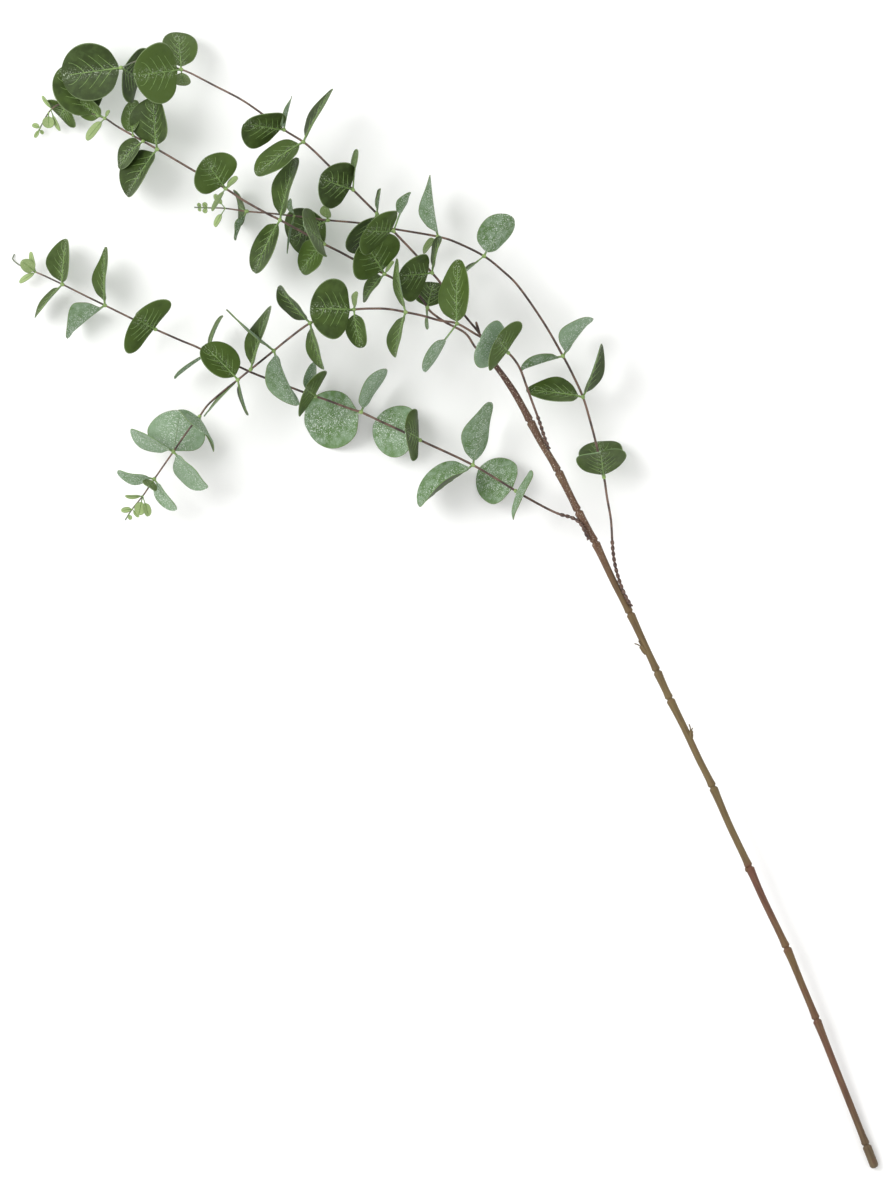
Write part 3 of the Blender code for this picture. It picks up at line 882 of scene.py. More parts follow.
class Blade:
    """One leaf's curved sheet: where each place on it lies, and which way it faces there."""

    thin: float = 0.62 * MM
    crease: float = 0.22
    wave_share: float = 0.022
    facing_step: float = 0.02
    last_share: float = 0.985

    def __init__(self, leaf: Leaf, root: Vector, draw: random.Random) -> None:
        """Aim the blade from its node to its tip.

        Args:
            leaf: The leaf's measured places.
            root: The node's point on its twig.
            draw: The sprig's own seeded source of chance.
        """
        self.leaf = leaf
        self.root = root
        self.width = leaf.width * MM
        self._aim(leaf.rise * MM)
        if not leaf.pressed and self._lowest() < 0:
            self._settle(leaf.rise * MM)
        self.petiole = leaf.petiole(self.length)
        self.shade = draw.random()
        self.phase = (draw.random(), draw.random())
        self.beats = draw.uniform(0.7, 1.5)
        self.youth = smoothstep(17.0, 7.0, leaf.width)

    def _aim(self, rise: float) -> None:
        """Point the blade's own axes for a rise of the tip over the node.

        Args:
            rise: The tip's height over the node in metres.
        """
        tip = place(*self.leaf.tip, 0) - place(*self.leaf.node, 0)
        span = Vector((tip.x, tip.y, rise))
        self.length = span.length
        self.along = span.normalized()
        level = Vector((0, 0, 1)) - self.along.z * self.along
        turn = Matrix.Rotation(math.radians(self.leaf.roll), 3, self.along)
        self.normal = turn @ level.normalized()
        self.side = self.normal.cross(self.along)

    def _lowest(self) -> float:
        """Find the height of the CAD blade's lowest corner.

        Returns:
            The height over the surface in metres.
        """
        low = math.inf
        for distance, half in coarse_rows(self.leaf, self.length):
            centre = self._spine(distance)
            edge = centre.z + self.normal.z * self.leaf.rim_lift(half)
            low = min(low, centre.z, edge - abs(self.side.z) * half)
        return low - abs(self.normal.z) * BLADE_THICKNESS / 2

    def _settle(self, rise: float) -> None:
        """Raise the tip until the lowest corner rests on the surface.

        Args:
            rise: The tip's first height over the node in metres.
        """
        low, high = rise, rise + LARGEST_LIFT
        for _ in range(LIFT_HALVINGS):
            middle = (low + high) / 2
            self._aim(middle)
            if self._lowest() < 0:
                low = middle
            else:
                high = middle
        self._aim(high)

    def _spine(self, distance: float) -> Vector:
        """Find the bowed midrib's point at a distance from the node."""
        bow = self.leaf.bow * self.length * (distance / self.length) ** 2
        return self.root + self.along * distance - self.normal * bow

    def at(self, across: float, share: float) -> Vector:
        """Find a place on the blade's middle surface.

        Args:
            across: -1 at the left rim, 0 at the midrib and 1 at the right rim.
            share: 0 at the end of the petiole and 1 at the tip.

        Returns:
            The point in metres.
        """
        half = self.leaf.half_width(share)
        crease = self.crease
        cup = (math.hypot(across, crease) - crease) / (math.hypot(1, crease) - crease)
        lift = self.leaf.rim_lift(half) * cup
        phase = self.phase[0] if across < 0 else self.phase[1]
        wave = math.sin(math.tau * (self.beats * share + phase)) * across ** 2
        lift += self.wave_share * self.width * wave * smoothstep(0.0, 0.25, share)
        centre = self._spine(self.petiole + share * (self.length - self.petiole))
        point = centre + self.side * (across * half) + self.normal * lift
        point.z = max(point.z, self.thin / 2)
        return point

    def facing(self, across: float, share: float) -> Vector:
        """Find the direction that the upper face looks in at a place.

        Args:
            across: -1 at the left rim, 0 at the midrib and 1 at the right rim.
            share: 0 at the end of the petiole and 1 at the tip.

        Returns:
            The unit direction.
        """
        step = self.facing_step
        low, high = max(across - step, -1.0), min(across + step, 1.0)
        near, far = max(share - step, 0.0), min(share + step, self.last_share)
        share = min(share, self.last_share)
        crossways = self.at(high, share) - self.at(low, share)
        lengthways = self.at(across, far) - self.at(across, near)
        return lengthways.cross(crossways).normalized()


@dataclass
class BladeMesh:
    """The closed sheets of one sprig's leaves, gathered in one mesh."""

    columns: tuple[float, ...] = (
        -1.0, -0.95, -0.84, -0.68, -0.5, -0.32, -0.16, -0.05,
        0.05, 0.16, 0.32, 0.5, 0.68, 0.84, 0.95, 1.0,
    )
    rows_large: int = 26
    rows_small: int = 12
    small_width: float = 10 * MM
    corners: list[Vector] = field(default_factory=list)
    faces: list[tuple[int, ...]] = field(default_factory=list)
    sides: list[int] = field(default_factory=list)
    spots: list[tuple[float, float]] = field(default_factory=list)
    tones: list[tuple[float, float, float, float]] = field(default_factory=list)

    def _corner(self, blade: Blade, point: Vector, across: float, share: float, rim: float) -> int:
        """Keep one corner with its flat place and tone.

        Args:
            blade: The leaf that it is on.
            point: Where it is in metres.
            across: -1 to 1 over the width.
            share: 0 to 1 along the blade.
            rim: 1 on the rim and 0 inside.

        Returns:
            The corner's number.
        """
        spread = across * blade.leaf.half_width(share) / (BLADE_UV_MM * MM)
        self.corners.append(point)
        self.spots.append((0.5 + spread, share * blade.length / (BLADE_UV_MM * MM)))
        self.tones.append((blade.shade, blade.youth, rim, 1.0))
        return len(self.corners) - 1

    def _ring(self, blade: Blade, share: float) -> list[int]:
        """Lay the corners round the blade's section at a share of its length.

        Args:
            blade: The leaf.
            share: The share of its length.

        Returns:
            The corners' numbers: upper face left to right, right rim, under face right to
            left, left rim.
        """
        upper, under = [], []
        for across in self.columns:
            middle = blade.at(across, share)
            facing = blade.facing(across, share)
            half = facing * blade.thin / 2
            rim = 1.0 if abs(across) == 1.0 else 0.0
            upper.append(self._corner(blade, middle + half, across, share, rim))
            under.append(self._corner(blade, middle - half, across, share, rim))
        noses = []
        for across in (1.0, -1.0):
            outward = blade.side * (across * blade.thin / 2)
            noses.append(self._corner(blade, blade.at(across, share) + outward, across, share, 1.0))
        return [*upper, noses[0], *reversed(under), noses[1]]

    def add(self, blade: Blade) -> None:
        """Add one leaf's closed sheet.

        Args:
            blade: The leaf.
        """
        rows = self.rows_small if blade.width < self.small_width else self.rows_large
        shares = [(1 - math.cos(math.pi * index / rows)) / 2 for index in range(rows)]
        rings = [self._ring(blade, share) for share in shares]
        count = len(rings[0])
        width = len(self.columns)
        for near, far in zip(rings, rings[1:]):
            for index in range(count):
                after = (index + 1) % count
                self.faces.append((near[index], far[index], far[after], near[after]))
                self.sides.append(self._side(index, width, blade.leaf.flipped))
        tip = self._corner(blade, blade.at(0.0, 1.0), 0.0, 1.0, 1.0)
        for index in range(count):
            self.faces.append((rings[-1][index], tip, rings[-1][(index + 1) % count]))
            self.sides.append(self._side(index, width, blade.leaf.flipped))
        self.faces.append(tuple(rings[0]))
        self.sides.append(Face.UPPER.value)

    @staticmethod
    def _side(index: int, width: int, flipped: bool) -> int:
        """Tell which face of the blade a strip of the section belongs to."""
        return Face.UNDER.value if (width < index < 2 * width) != flipped else Face.UPPER.value

    def piece(self, name: str, materials: Iterable[bpy.types.Material]) -> bpy.types.Object:
        """Make the piece.

        Args:
            name: The piece's name.
            materials: The materials of the upper and the under face.

        Returns:
            The piece.
        """
        mesh = bpy.data.meshes.new(name)
        mesh.from_pydata([tuple(corner) for corner in self.corners], [], self.faces)
        mesh.polygons.foreach_set("material_index", self.sides)
        flat = mesh.uv_layers.new(name="blade")
        for loop in mesh.loops:
            flat.data[loop.index].uv = self.spots[loop.vertex_index]
        tone = mesh.attributes.new("tone", "FLOAT_COLOR", "POINT")
        tone.data.foreach_set("color", [part for entry in self.tones for part in entry])
        for material in materials:
            mesh.materials.append(material)
        mesh.shade_smooth()
        mesh.update()
        item = bpy.data.objects.new(name, mesh)
        bpy.context.scene.collection.objects.link(item)
        return item


@dataclass(frozen=True)
class VeinPlan:
    """Sizes of the raised veins, in metres and in shares of the blade."""

    petiole_radius: float = 0.84 * MM
    midrib_radius: float = 0.74 * MM
    midrib_end: float = 0.3 * MM
    midrib_reach: float = 0.86
    side_radius: float = 0.42 * MM
    side_end: float = 0.16 * MM
    side_starts: tuple[float, ...] = (0.07, 0.24, 0.42, 0.6)
    side_run: float = 0.25
    side_spread: float = 0.66
    side_points: int = 7
    side_bend: float = 0.12
    side_advance: float = 1.15
    side_depth: float = 0.84
    side_limit: float = 0.97
    right_hand_lag: float = 0.05
    midrib_points: int = 16
    under_share: float = 0.8
    least_width: float = 13 * MM
    least_size: float = 0.35
    full_size_width: float = 30 * MM

    def lay(self, blade: Blade, upper: PathSet, under: PathSet) -> None:
        """Lay one leaf's petiole and veins.

        Args:
            blade: The leaf.
            upper: Receives the petiole and the upper face's veins.
            under: Receives the under face's midrib.
        """
        grown = blade.width / self.full_size_width
        size = min(1.0, self.least_size + (1 - self.least_size) * grown)
        sink = -blade.thin / 2 if blade.leaf.flipped else blade.thin / 2
        stalk = [blade.root, blade.root.lerp(blade.at(0.0, 0.0), 0.5)]
        rib, lower_rib = (
            [self._over(blade, 0.0, self._share(index), face) for index in range(self.midrib_points)]
            for face in (sink, -sink)
        )
        radii = [self.petiole_radius * size] * 2
        for index in range(self.midrib_points):
            part = index / (self.midrib_points - 1)
            radii.append(size * (self.midrib_radius + (self.midrib_end - self.midrib_radius) * part))
        upper.add([*stalk, *rib], radii)
        under.add([*stalk, *lower_rib], [self.under_share * radius for radius in radii])
        if blade.width < self.least_width:
            return
        for start in self.side_starts:
            for hand in (-1, 1):
                begin = start + self.right_hand_lag * (hand > 0)
                self._side_vein(blade, begin, hand, size, upper, sink)

    def _share(self, index: int) -> float:
        """Find the midrib point's share of the blade."""
        return self.midrib_reach * index / (self.midrib_points - 1)

    @staticmethod
    def _over(blade: Blade, across: float, share: float, height: float) -> Vector:
        """Find a point at a height over the blade's middle surface."""
        return blade.at(across, share) + blade.facing(across, share) * height

    def _side_vein(
        self, blade: Blade, begin: float, hand: int, size: float, paths: PathSet, sink: float
    ) -> None:
        """Lay one side vein that leaves the midrib towards the tip.

        Args:
            blade: The leaf.
            begin: Where it leaves the midrib, as a share of the blade.
            hand: -1 for the left half and 1 for the right half.
            size: The leaf's scale for radii.
            paths: Receives the vein.
            sink: The height of the face over the middle surface.
        """
        points, radii = [], []
        for index in range(self.side_points):
            part = index / (self.side_points - 1)
            across = hand * self.side_spread * part * (1 - self.side_bend * part)
            share = min(begin + self.side_run * (part ** self.side_advance), self.side_limit)
            points.append(self._over(blade, across, share, self.side_depth * sink))
            radii.append(size * (self.side_radius + (self.side_end - self.side_radius) * part))
        paths.add(points, radii)


@dataclass(frozen=True)
class Wrap:
    """The twisted base of a sprig: its length, strand and turn in metres."""

    length: float
    strand: float = 0.72 * MM
    offset: float = 0.88 * MM
    turn: float = 9 * MM
    strands: int = 2
    step: float = 0.6 * MM
    fade_run: float = 3 * MM
    fade_end: float = 0.35


@dataclass(frozen=True)
class Collar:
    """The barrel that holds a pair of petioles, in metres, and how it shrinks with the leaves."""

    length: float = 3.4 * MM
    radius: float = 1.65 * MM
    waist: float = 0.95 * MM
    sides: int = 12
    least_size: float = 0.45
    least_leaf: float = 5.0
    full_leaf: float = 30.0


SPRIG_SIDES = 10
WRAP_SIDES = 8
VEIN_SIDES = 6


@dataclass(frozen=True)
class Sprig:
    """One wire sprig: its node in the CAD, route, wrapped base, leaves and broken stubs."""

    name: str
    route: tuple[Place, ...]
    wrap: Wrap
    leaves: tuple[Leaf, ...]
    seed: int
    stubs: tuple[Stub, ...] = ()
    twig_radius: float = 0.95 * MM
    tip_radius: float = 0.55 * MM
    taper_power: float = 4.0
    step: float = 3 * MM
    veins: VeinPlan = VeinPlan()
    collar: Collar = Collar()

    def build(self, workshop: "Workshop") -> list[bpy.types.Object]:
        """Make the sprig's pieces.

        Args:
            workshop: The trees and shared materials.

        Returns:
            The pieces.
        """
        route = Route([place(*point) for point in self.route], self.step)
        draw = random.Random(self.seed)
        blades = [
            Blade(leaf, route.point(route.nearest(place(*leaf.node, 0))), draw)
            for leaf in self.leaves
        ]
        return [
            self._twig(route, workshop), self._wrap(route, workshop),
            self._collars(route, workshop), self._blades(blades, workshop),
            *self._veins(blades, workshop),
        ]

    def _twig(self, route: Route, workshop: "Workshop") -> bpy.types.Object:
        """Make the plastic-covered wire with its broken stubs.

        Args:
            route: The sprig's centre line.
            workshop: The trees and shared materials.

        Returns:
            The piece.
        """
        paths = PathSet()
        radii = [
            self.twig_radius
            + (self.tip_radius - self.twig_radius) * (length / route.length) ** self.taper_power
            for length in route.lengths
        ]
        paths.add(route.points, radii)
        for stub in self.stubs:
            ends = [place(*stub.root), place(*stub.end)]
            paths.add(
                [ends[0], ends[0].lerp(ends[1], 0.5), ends[0].lerp(ends[1], 0.9), ends[1]],
                [stub.root_radius * MM, stub.root_radius * 0.9 * MM, stub.end_radius * MM,
                 stub.end_radius * 0.7 * MM],
            )
        finish = TwigPlastic(
            name=f"twig_polyethylene_{self.name}", roughness=0.45, length=route.length,
        )
        return workshop.tubes.tubes(self.name + "_twig", paths, SPRIG_SIDES, finish.material())

    def _wrap(self, route: Route, workshop: "Workshop") -> bpy.types.Object:
        """Make the strands that are twisted round the sprig's base.

        Args:
            route: The sprig's centre line.
            workshop: The trees and shared materials.

        Returns:
            The piece.
        """
        paths = PathSet()
        wrap = self.wrap
        count = round(wrap.length / wrap.step)
        for strand in range(wrap.strands):
            points, radii = [], []
            for index in range(count + 1):
                length = index * wrap.step
                heading = route.heading(length)
                across = heading.cross(Vector((0, 0, 1))).normalized()
                upward = across.cross(heading)
                angle = math.tau * (length / wrap.turn + strand / wrap.strands)
                outward = across * math.cos(angle) + upward * math.sin(angle)
                fade = smoothstep(wrap.length, wrap.length - wrap.fade_run, length)
                points.append(route.point(length) + outward * wrap.offset)
                radii.append(wrap.strand * (wrap.fade_end + (1 - wrap.fade_end) * fade))
            paths.add(points, radii)
        return workshop.tubes.tubes(self.name + "_wrap", paths, WRAP_SIDES, workshop.tape)

    def _collars(self, route: Route, workshop: "Workshop") -> bpy.types.Object:
        """Make the green collar that holds each pair of petioles.

        Args:
            route: The sprig's centre line.
            workshop: The trees and shared materials.

        Returns:
            The piece.
        """
        largest: dict[Pixel, float] = {}
        for leaf in self.leaves:
            largest[leaf.node] = max(largest.get(leaf.node, 0.0), leaf.width)
        spots = [route.nearest(place(*node, 0)) for node in largest]
        guide = bpy.data.meshes.new(self.name + "_nodes")
        guide.from_pydata([tuple(route.point(spot)) for spot in spots], [], [])
        headings = [part for spot in spots for part in route.heading(spot)]
        collar = self.collar
        sizes = [
            collar.least_size
            + (1 - collar.least_size) * smoothstep(collar.least_leaf, collar.full_leaf, width)
            for width in largest.values()
        ]
        guide.attributes.new("heading", "FLOAT_VECTOR", "POINT").data.foreach_set("vector", headings)
        guide.attributes.new("size", "FLOAT", "POINT").data.foreach_set("value", sizes)
        return workshop.collars.grow(self.name + "_collars", guide, {
            "Length": collar.length, "Radius": collar.radius, "Waist": collar.waist,
            "Sides": collar.sides,
            "Material": workshop.collar_green,
        })

    def _blades(self, blades: Sequence[Blade], workshop: "Workshop") -> bpy.types.Object:
        """Make the leaf blades.

        Args:
            blades: The sprig's leaves.
            workshop: The trees and shared materials.

        Returns:
            The piece.
        """
        sheets = BladeMesh()
        for blade in blades:
            sheets.add(blade)
        return sheets.piece(self.name + "_leaves", (workshop.leaf_upper, workshop.leaf_under))

    def _veins(self, blades: Sequence[Blade], workshop: "Workshop") -> list[bpy.types.Object]:
        """Make the petioles and veins of both faces.

        Args:
            blades: The sprig's leaves.
            workshop: The trees and shared materials.

        Returns:
            The upper face's piece and the under face's piece.
        """
        upper, under = PathSet(), PathSet()
        for blade in blades:
            self.veins.lay(blade, upper, under)
        return [
            workshop.tubes.tubes(self.name + "_veins", upper, VEIN_SIDES, workshop.vein_green),
            workshop.tubes.tubes(self.name + "_under_ribs", under, VEIN_SIDES, workshop.rib_grey),
        ]


@dataclass(frozen=True)
class MainStem:
    """The moulded stem: its route, node rings, broken stubs, bud nub and sizes in metres."""

    route: tuple[Place, ...]
    rings: tuple[Pixel, ...]
    stubs: tuple[Stub, ...]
    radius: float = 2.75 * MM
    cut_radius: float = 3.5 * MM
    cut_length: float = 22 * MM
    swell: float = 1.0 * MM
    swell_above: float = 3.5 * MM
    swell_below: float = 9 * MM
    pinch: float = 1.5 * MM
    pinch_width: float = 1.0 * MM
    top_taper: float = 30 * MM
    wire_radius: float = 0.5 * MM
    wire_bend: float = 0.4 * MM
    step: float = 4 * MM
    ring_step: float = 0.45 * MM
    ring_steps: int = 14
    dome: float = 3.2 * MM
    dome_share: float = 0.25
    dome_step: float = 0.4 * MM
    dome_steps: int = 12
    least_step: float = 0.3 * MM
    top_share: float = 0.8
    sides: int = 24
    stub_sides: int = 14

    def radius_at(self, length: float, total: float, rings: Sequence[float]) -> float:
        """Find the stem's radius at a length from the cut end.

        Args:
            length: The length from the cut end in metres.
            total: The stem's whole length in metres.
            rings: The node rings' lengths in metres.

        Returns:
            The radius in metres.
        """
        flare = max(0.0, 1 - length / self.cut_length)
        radius = self.radius + (self.cut_radius - self.radius) * flare
        swell = pinch = 0.0
        for ring in rings:
            gap = length - ring
            reach = self.swell_above if gap > 0 else self.swell_below
            swell = max(swell, math.exp(-abs(gap) / reach))
            pinch = max(pinch, math.exp(-(gap / self.pinch_width) ** 2))
        radius += self.swell * swell - self.pinch * pinch
        dome = min(1.0, length / self.dome)
        arc = math.sqrt(max(0.0, 1 - (1 - dome) ** 2))
        radius *= self.dome_share + (1 - self.dome_share) * arc
        below_top = smoothstep(total, total - self.top_taper, length)
        return radius * (self.top_share + (1 - self.top_share) * below_top)

    def build(self, workshop: "Workshop") -> list[bpy.types.Object]:
        """Make the stem's pieces.

        Args:
            workshop: The trees and shared materials.

        Returns:
            The pieces.
        """
        route = Route([place(*point) for point in self.route], self.step)
        rings = [route.nearest(place(*ring, 0)) for ring in self.rings]
        lengths = {round(length, 7) for length in route.lengths}
        for ring in rings:
            for index in range(-self.ring_steps, self.ring_steps + 1):
                lengths.add(round(min(max(ring + index * self.ring_step, 0.0), route.length), 7))
        lengths.update(self.dome_step * index for index in range(self.dome_steps))
        ordered = self._spaced(sorted(lengths), self.least_step)
        stem = PathSet()
        stem.add(
            [route.point(length) for length in ordered],
            [self.radius_at(length, route.length, rings) for length in ordered],
        )
        finish = StemPlastic(
            name="stem_polyethylene_moulded", roughness=0.55, specular=0.35, length=route.length,
        )
        plastic = finish.material()
        return [
            workshop.tubes.tubes("main_stem_rod", stem, self.sides, plastic),
            self._stubs(route, workshop, plastic),
        ]

    @staticmethod
    def _spaced(lengths: Sequence[float], least: float) -> list[float]:
        """Drop the lengths that lie too close to the one before.

        Args:
            lengths: The lengths in rising order.
            least: The least distance between two of them.

        Returns:
            The lengths that are kept.
        """
        kept = [lengths[0]]
        for length in lengths[1:]:
            if length - kept[-1] > least:
                kept.append(length)
        return kept

    def _stubs(
        self, route: Route, workshop: "Workshop", plastic: bpy.types.Material
    ) -> bpy.types.Object:
        """Make the swollen stubs with their torn wires, and the bud nub.

        Args:
            route: The stem's centre line.
            workshop: The trees and shared materials.
            plastic: The stem's material.

        Returns:
            The piece.
        """
        paths = PathSet()
        for stub in self.stubs:
            root, end = place(*stub.root), place(*stub.end)
            start = route.nearest(root)
            wide, narrow = stub.root_radius * MM, stub.end_radius * MM
            shares = (0.0, 0.3, 0.55, 0.75, 0.9, 1.0)
            radii = (wide * 0.9, wide, wide * 0.95, narrow * 1.05, narrow * 1.1, narrow * 0.6)
            paths.add([root.lerp(end, share) for share in shares], radii, start)
            for tip in stub.wires:
                wire_end = place(*tip)
                bend = end.lerp(wire_end, 0.5) + Vector((0, 0, self.wire_bend))
                paths.add([root.lerp(end, 0.7), bend, wire_end], [self.wire_radius] * 3, start)
        return workshop.tubes.tubes("main_stem_stubs", paths, self.stub_sides, plastic)


@dataclass(frozen=True)
class Workshop:
    """The node trees and the materials that the pieces share."""

    tubes: TubeTree
    collars: CollarTree
    leaf_upper: bpy.types.Material
    leaf_under: bpy.types.Material
    vein_green: bpy.types.Material
    rib_grey: bpy.types.Material
    collar_green: bpy.types.Material
    tape: bpy.types.Material

    @classmethod
    def open(cls) -> "Workshop":
        """Build the trees and mix the shared materials.

        Returns:
            The workshop.
        """
        return cls(
            tubes=TubeTree(),
            collars=CollarTree(),
            leaf_upper=LeafPlastic(
                name="leaf_polyethylene_upper", roughness=0.5, specular=0.2,
            ).material(),
            leaf_under=LeafPlastic(
                name="leaf_polyethylene_under_frosted", roughness=0.75, specular=0.15,
                deep="#5c784b", fresh="#80977a", young="#98ac74", rim="#6a8650",
                frost="#d0d8cf", frost_low=0.55, frost_high=0.61, frost_amount=0.8,
                frost_spread_mm=24.0, bloom="#8b9f88", bloom_amount=0.6,
            ).material(),
            vein_green=PlainPlastic(
                name="vein_polyethylene_light_green", roughness=0.45,
                light="#738f4c", dark="#587337",
            ).material(),
            rib_grey=PlainPlastic(
                name="rib_polyethylene_grey_green", roughness=0.6,
                light="#8fa283", dark="#738968",
            ).material(),
            collar_green=PlainPlastic(
                name="collar_polyethylene_bright_green", roughness=0.42,
                light="#8ba45f", dark="#70894a",
            ).material(),
            tape=WrapTape(name="wrap_waxed_paper_tape", roughness=0.7).material(),
        )


@dataclass(frozen=True)
class Studio:
    """The pale floor, the soft lights and the camera over the branch, in metres."""

    floor_size: float = 12.0
    lens: float = 800.0
    sensor: float = 36.0
    frame_height: float = 1200 * PHOTO_PIXEL
    middle_height: float = 45 * MM
    sky: float = 1.0
    key_power: float = 56.0
    key_place: tuple[float, float, float] = (-1.9, 0.9, 2.4)
    key_size: float = 1.6

    def build(self) -> None:
        """Set up the studio."""
        self._floor()
        self._lights()
        self._camera()

    def _floor(self) -> None:
        """Lay the paper floor just under the branch."""
        half = self.floor_size / 2
        mesh = bpy.data.meshes.new("paper_floor")
        mesh.from_pydata(
            [(-half, -half, 0), (half, -half, 0), (half, half, 0), (-half, half, 0)], [],
            [(0, 1, 2, 3)],
        )
        mesh.materials.append(FloorPaper(name="studio_paper_white", roughness=0.9).material())
        floor = bpy.data.objects.new("paper_floor", mesh)
        bpy.context.scene.collection.objects.link(floor)

    def _lights(self) -> None:
        """Hang the soft key light and light the room evenly."""
        world = bpy.data.worlds.new("white_room")
        world.use_nodes = True
        room = world.node_tree.nodes["Background"]
        room.inputs["Color"].default_value = (1.0, 1.0, 1.0, 1.0)
        room.inputs["Strength"].default_value = self.sky
        bpy.context.scene.world = world
        lamp = bpy.data.lights.new("key_softbox", "AREA")
        lamp.size = self.key_size
        lamp.energy = self.key_power
        key = bpy.data.objects.new("key_softbox", lamp)
        key.location = self.key_place
        key.rotation_euler = (-Vector(self.key_place)).to_track_quat("-Z", "Y").to_euler()
        key.visible_camera = False
        bpy.context.scene.collection.objects.link(key)
        bpy.context.scene.view_settings.view_transform = "Standard"

    def _camera(self) -> None:
        """Hang the camera straight over the photograph's middle."""
        data = bpy.data.cameras.new("photo_camera")
        data.lens = self.lens
        data.sensor_width = self.sensor
        distance = self.frame_height * self.lens / self.sensor
        data.clip_start = distance * 0.5
        data.clip_end = distance * 2
        camera = bpy.data.objects.new("photo_camera", data)
        camera.location = (0.0, 0.0, distance + self.middle_height)
        bpy.context.scene.collection.objects.link(camera)
        bpy.context.scene.camera = camera


MAIN_STEM = MainStem(
    route=(
        (876, 1169, 3.35), (867, 1146, 5.2), (842, 1083, 9.0), (817, 1020, 12.5),
        (802, 984, 14.5), (787, 948, 16.5), (764, 900, 19.0), (749, 866, 21.0),
        (730, 826, 23.5), (713, 787, 26.0), (699, 759, 27.5), (684, 727, 29.5),
        (670, 699, 31.0), (657, 671, 33.0), (643, 641, 35.0), (630, 613, 37.0),
        (613, 580, 39.0), (595, 542, 41.5), (578, 511, 43.5), (558, 471, 46.0),
        (541, 442, 48.0), (530, 421, 49.5), (517, 397, 51.0), (506, 380, 52.0), (495, 365, 53.0),
    ),
    rings=(
        (867, 1146), (817, 1020), (787, 948), (750, 867), (713, 787), (670, 699), (657, 671),
        (630, 613), (595, 542), (578, 511), (558, 471), (530, 421),
    ),
    stubs=(
        Stub((647, 653, 34.2), (641, 645.5, 36.0), 2.7, 2.1, ((634.6, 643.6, 37.5), (638.6, 640.6, 37.0))),
        Stub((690, 740, 28.8), (691.4, 730.5, 30.0), 2.4, 1.7, ((689.3, 724.3, 31.5), (692.8, 728, 31.0))),
        Stub((751, 869, 21.0), (745.6, 870.2, 22.0), 2.2, 1.9),
    ),
)

SPRIG_RIGHT_ARCH = Sprig(
    name="sprig_right_arch",
    route=(
        (631.5, 606.5, 40.6), (624.5, 594, 41.2), (618.5, 578, 41.2), (614.5, 562, 41.2),
        (612.5, 545, 40.5),
        (611, 520, 39.0), (607, 497, 38.0), (604, 477, 37.5), (596, 443, 37.5), (590, 420, 37.5),
        (583, 397, 38.0), (573, 375, 38.0), (563, 356, 38.0), (544, 323, 38.0),
        (519, 287, 38.0), (503, 271, 38.0), (484, 256, 38.0), (458, 243, 38.0),
        (438, 236.5, 37.5), (395, 229, 37.0), (360, 223, 36.0), (328, 220, 34.0),
        (305, 217, 32.5), (269, 213, 30.0), (246.5, 211, 28.5), (225, 208, 26.5),
        (209, 207.5, 25.0), (194, 207, 23.5),
    ),
    seed=11,
    wrap=Wrap(58 * MM),
    leaves=(
        Leaf((604, 475), (599.5, 438), -50, 35, 0),
        Leaf((604, 477), (600, 449), 33, 40, 180, flipped=True),
        Leaf((583, 397), (527, 387), 4, 34, 54, taper=0.35),
        Leaf((583, 397), (605, 345), 2, 36, 76, 14, taper=0.35),
        Leaf((563, 356), (589.5, 316), 3, 38, -110, 22, taper=0.15),
        Leaf((563, 356), (520, 367), 0, 34, 98, 16),
        Leaf((484, 256), (508, 214), 4, 38, -130),
        Leaf((484, 256), (453, 280), -6, 16, 85, stalk=8),
        Leaf((438, 236), (426, 175), 3, 34, -105, 27, taper=0.6),
        Leaf((438, 236), (422, 251), -8, 12, 60),
        Leaf((328, 220), (286, 240), -50, 40, 0),
        Leaf((328, 220), (325, 206), 5, 12, -50, stalk=2),
        Leaf((294, 216), (289, 199), 0, 14, -105, stalk=2),
        Leaf((294, 216), (284.5, 253), -2, 16, 92, 6),
        Leaf((246.5, 211), (235, 204), -28, 30, -40),
        Leaf((246.5, 211), (233, 239), -2, 24, 100, taper=0.5),
        Leaf((225, 208), (214, 194.5), 4, 5, -30, stalk=5),
        Leaf((225, 208), (213.5, 226), -4, 6, 40, stalk=6),
        Leaf((207, 207.4), (203, 202.5), 2, 3.6, 0, stalk=1),
        Leaf((207, 207.4), (203.3, 212.3), -1, 3.6, 0, stalk=1),
        Leaf((201, 207.2), (197.5, 203), 2, 2.6, 0, stalk=1),
        Leaf((201, 207.2), (198.3, 210.5), -1, 2.6, 0, stalk=1),
    ),
)

